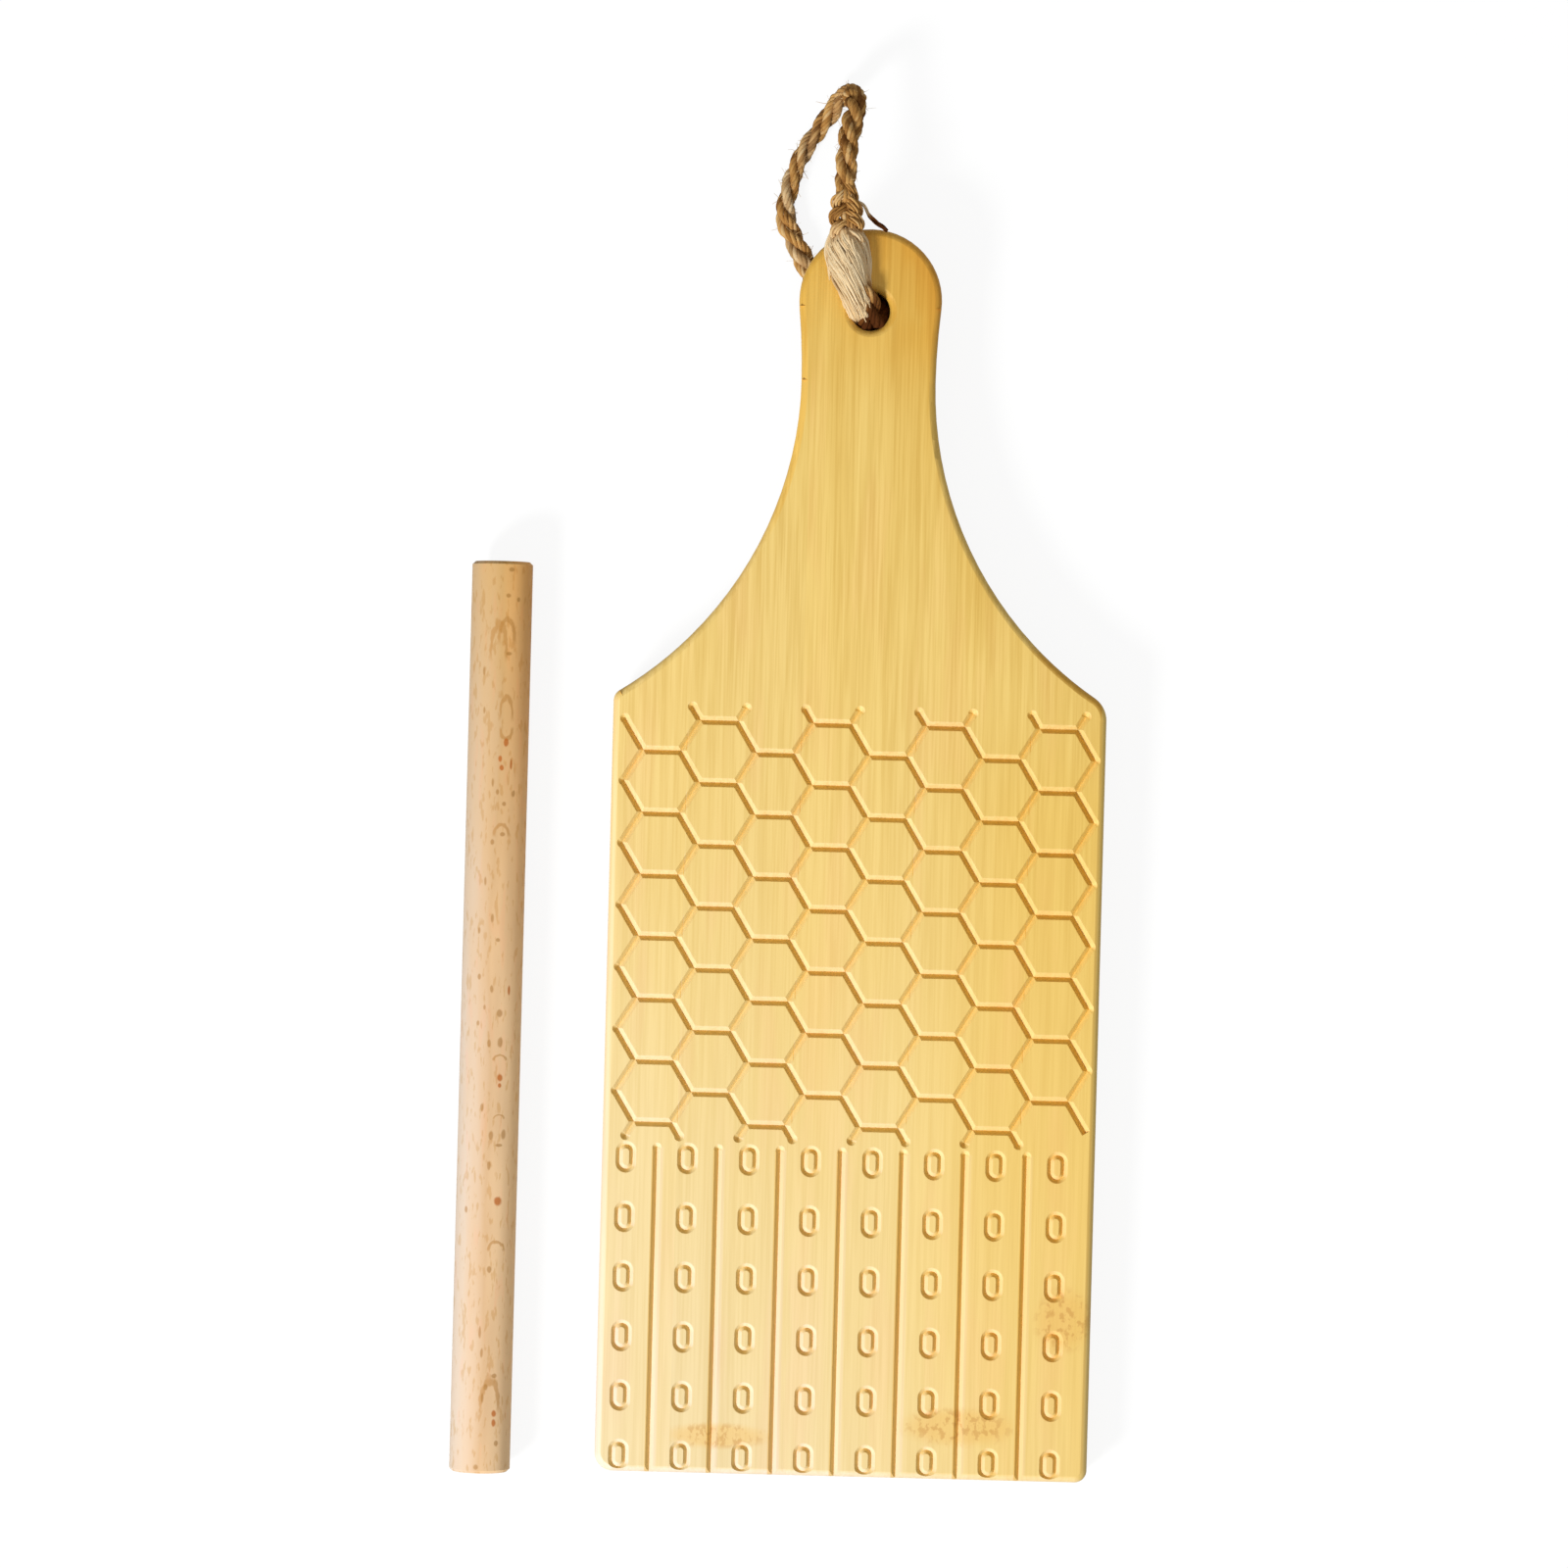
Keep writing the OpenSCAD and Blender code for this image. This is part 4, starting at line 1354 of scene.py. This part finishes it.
        # The tip is partly a darker tone and partly painted shade.
        masks = {"Tone": 0.7 - 0.9 * dark, "Pale": 0.9 * (1 - dark), "Painted Shade": 0.8 * dark}
        piece = self.finish_piece("twine_tail_short", lines, radius, masks, "jute")
        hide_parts("cord_tail_short")
        return piece

    def make_frayed_tail(self) -> bpy.types.Object:
        """Build the frayed end: a pale sheaf of loose locks that turns over the last of the loop.

        It is less pale near the knot, and darkened with painted shade where it ends in the hole.

        Returns:
            The piece.
        """
        rng = np.random.default_rng(self.seed + 2)
        sheaf = self.sheaf
        v = np.linspace(0.0, 1.0, sheaf.samples)[None, :]
        parts = [sheaf.locks(rng, v), sheaf.strays(rng, v), sheaf.crossings(rng, v)]
        lines, end = (np.concatenate(group) for group in zip(*parts))
        total = len(lines)
        in_locks = sheaf.lock_count * sheaf.lock_fibres
        radius = rng.uniform(*sheaf.radii, (total, 1)) * (1.0 - 0.5 * v**4) * MM
        # The fibres outside the locks are thinner, and no lock's tone is added to theirs.
        radius[in_locks:] *= sheaf.loose_share
        tone = np.full((total, 1), sheaf.loose_tone)
        lock_tone = rng.uniform(*sheaf.lock_tones, sheaf.lock_count)
        tone[:in_locks, 0] = np.repeat(lock_tone, sheaf.lock_fibres)
        pale = 0.97 - 0.45 * np.exp(-(end**2) / 0.01) - 0.6 * np.clip((end - 0.9) / 0.1, 0, 1)
        # The third mask is painted shade where the fibres end in the hole.
        masks = {
            "Tone": tone + rng.uniform(*sheaf.tones, (total, 1)),
            "Pale": np.clip(pale, 0, 1),
            "Painted Shade": np.clip((end - 0.88) / 0.1, 0, 1),
        }
        lines = lines * MM
        piece = self.finish_piece("twine_tail_frayed", lines, radius, masks, "jute_frayed", sheaf.sides)
        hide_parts("cord_tail_frayed")
        return piece

    def make_fuzz(self, path: Path) -> bpy.types.Object:
        """Build the loose fibres that stand off the loop.

        A fibre leaves the surface at p and bends: p + L (u d + 0.5 u^2 c), d between the outward
        and the lengthwise direction, and c a random vector.

        Args:
            path: The loop's line.

        Returns:
            The piece.
        """
        rng = np.random.default_rng(self.seed + 3)
        fuzz = self.fuzz
        size = (fuzz.count, 1)
        i = rng.choice(np.flatnonzero(path.length < fuzz.end), fuzz.count)
        a = rng.uniform(0, 2 * math.pi, size)
        out = np.cos(a) * path.normal[i] + np.sin(a) * path.side[i]
        start = path.points[i] + out * fuzz.root
        forward = path.tangent[i] * rng.choice([-1.0, 1.0], size)
        lean = rng.uniform(*fuzz.leans, size)
        heading = lean * out + (1.0 - lean) * forward
        bend = rng.normal(0, fuzz.bend, (fuzz.count, 3))
        u = np.linspace(0, 1, fuzz.samples)[None, :, None]
        length = rng.uniform(*fuzz.lengths, (fuzz.count, 1, 1)) * MM
        lines = start[:, None] + length * (u * heading[:, None] + 0.5 * u**2 * bend[:, None])
        lines[..., 2] = np.maximum(lines[..., 2], fuzz.least_height)
        radius = rng.uniform(*fuzz.radii, size) * MM * (1.0 - 0.6 * u[:, :, 0])
        tone = rng.uniform(*fuzz.tones, size)
        masks = {"Tone": tone, "Pale": rng.uniform(*fuzz.pales, size), "Painted Shade": np.zeros(size)}
        return self.finish_piece("twine_fuzz", lines, radius, masks, "jute", fuzz.sides)

    def make(self) -> None:
        """Build the whole twine and say what it is."""
        loop, path = self.make_loop()
        pieces = [self.make_knot(), self.make_short_tail(), self.make_frayed_tail(), self.make_fuzz(path)]


@dataclass
class Studio:
    """The white table, the even light round it, the soft lamp and the camera.

    Angles are in degrees. The camera's turn is a rotation vector.
    """

    camera_at: Point = (-0.0016, 0.0081, 1.0001)
    camera_turn: Point = (0.198, -0.085, 1.482)
    lens: float = 138.4
    sensor: float = 36.0
    lamp_azimuth: float = 228.0
    lamp_height: float = 40.0
    lamp_distance: float = 0.9
    lamp_size: float = 0.22
    lamp_power: float = 7.2
    fill: float = 0.43
    floor_half: float = 3.0
    floor_level: float = -0.02 * MM
    floor_glow: float = 0.9
    floor_white: float = 0.13

    def make_camera(self) -> None:
        """Put the camera above the table, at the photograph's angle."""
        data = bpy.data.cameras.new("camera")
        data.lens = self.lens
        data.sensor_width = self.sensor
        camera = place_in_scene("camera", data)
        turn = Vector([math.radians(angle) for angle in self.camera_turn])
        camera.rotation_mode = "QUATERNION"
        camera.rotation_quaternion = Quaternion(turn.normalized(), turn.length)
        camera.location = self.camera_at
        bpy.context.scene.camera = camera

    def seen(self, graph: Graph) -> bpy.types.NodeSocket:
        """Tell the rays that show a thing from those that light others.

        Args:
            graph: The graph that asks.

        Returns:
            1 on camera, glossy and transmission rays, and 0 on the others.
        """
        path = graph.add("ShaderNodeLightPath").outputs
        shiny = graph.math("MAXIMUM", path["Is Glossy Ray"], path["Is Transmission Ray"])
        return graph.math("MAXIMUM", path["Is Camera Ray"], shiny)

    def make_world(self) -> None:
        """Fill the scene with even light, and show it white."""
        world = bpy.data.worlds.new("even_light")
        bpy.context.scene.world = world
        world.use_nodes = True
        graph = Graph(world.node_tree)
        strength = graph.rise(self.seen(graph), 0.0, 1.0, self.fill, 1.0)
        sky = graph.add("ShaderNodeBackground", {"Color": (1.0, 1.0, 1.0, 1.0), "Strength": strength})
        graph.add("ShaderNodeOutputWorld", {"Surface": sky.outputs[0]})

    def make_floor(self) -> None:
        """Lay the white table top, which keeps the object's shadow."""
        mesh = bpy.data.meshes.new("table_top")
        signs = ((-1, -1), (1, -1), (1, 1), (-1, 1))
        rim = [(x * self.floor_half, y * self.floor_half, self.floor_level) for x, y in signs]
        mesh.from_pydata(rim, [], [(0, 1, 2, 3)])
        floor = place_in_scene("table_top", mesh)
        material = bpy.data.materials.new("table_white")
        material.use_nodes = True
        graph = Graph(material.node_tree)
        white = (self.floor_white, self.floor_white, self.floor_white, 1.0)
        matt = graph.add("ShaderNodeBsdfDiffuse", {"Color": white})
        glow = graph.add("ShaderNodeEmission", {"Strength": graph.times(self.seen(graph), self.floor_glow)})
        both = graph.add("ShaderNodeAddShader", {0: matt.outputs[0], 1: glow.outputs[0]})
        graph.add("ShaderNodeOutputMaterial", {"Surface": both.outputs[0]})
        wear(floor, material)

    def make_lamp(self) -> None:
        """Hang the soft lamp beyond the board's lower left corner."""
        data = bpy.data.lights.new("soft_lamp", "AREA")
        data.shape = "DISK"
        data.size = self.lamp_size
        data.energy = self.lamp_power
        lamp = place_in_scene("soft_lamp", data)
        lamp.visible_camera = False
        azimuth = math.radians(self.lamp_azimuth)
        height = math.radians(self.lamp_height)
        level = math.cos(height)
        away = Vector((math.cos(azimuth) * level, math.sin(azimuth) * level, math.sin(height)))
        lamp.location = away * self.lamp_distance
        lamp.rotation_euler = away.to_track_quat("Z", "Y").to_euler()

    def make(self) -> None:
        """Build the studio's floor, light and tone."""
        self.make_world()
        self.make_floor()
        self.make_lamp()
        bpy.context.scene.view_settings.view_transform = "Standard"
        LOG.info("studio: table, even light and one soft lamp")


def corners(box: Any) -> list[list[float]]:
    """Return a box's corners as plain lists of numbers."""
    return [[float(value) for value in corner] for corner in box]


def main() -> None:
    """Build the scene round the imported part."""
    logging.basicConfig(level=logging.INFO, format="%(name)s: %(message)s")
    for leftover in list(bpy.data.objects):
        bpy.data.objects.remove(leftover)
    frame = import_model()
    studio = Studio()
    studio.make_camera()
    HangingTwine().make()
    Paddle().dress(frame["nodes"])
    RollingDowel().dress(frame["nodes"])
    studio.make()


if __name__ == "__main__":
    main()
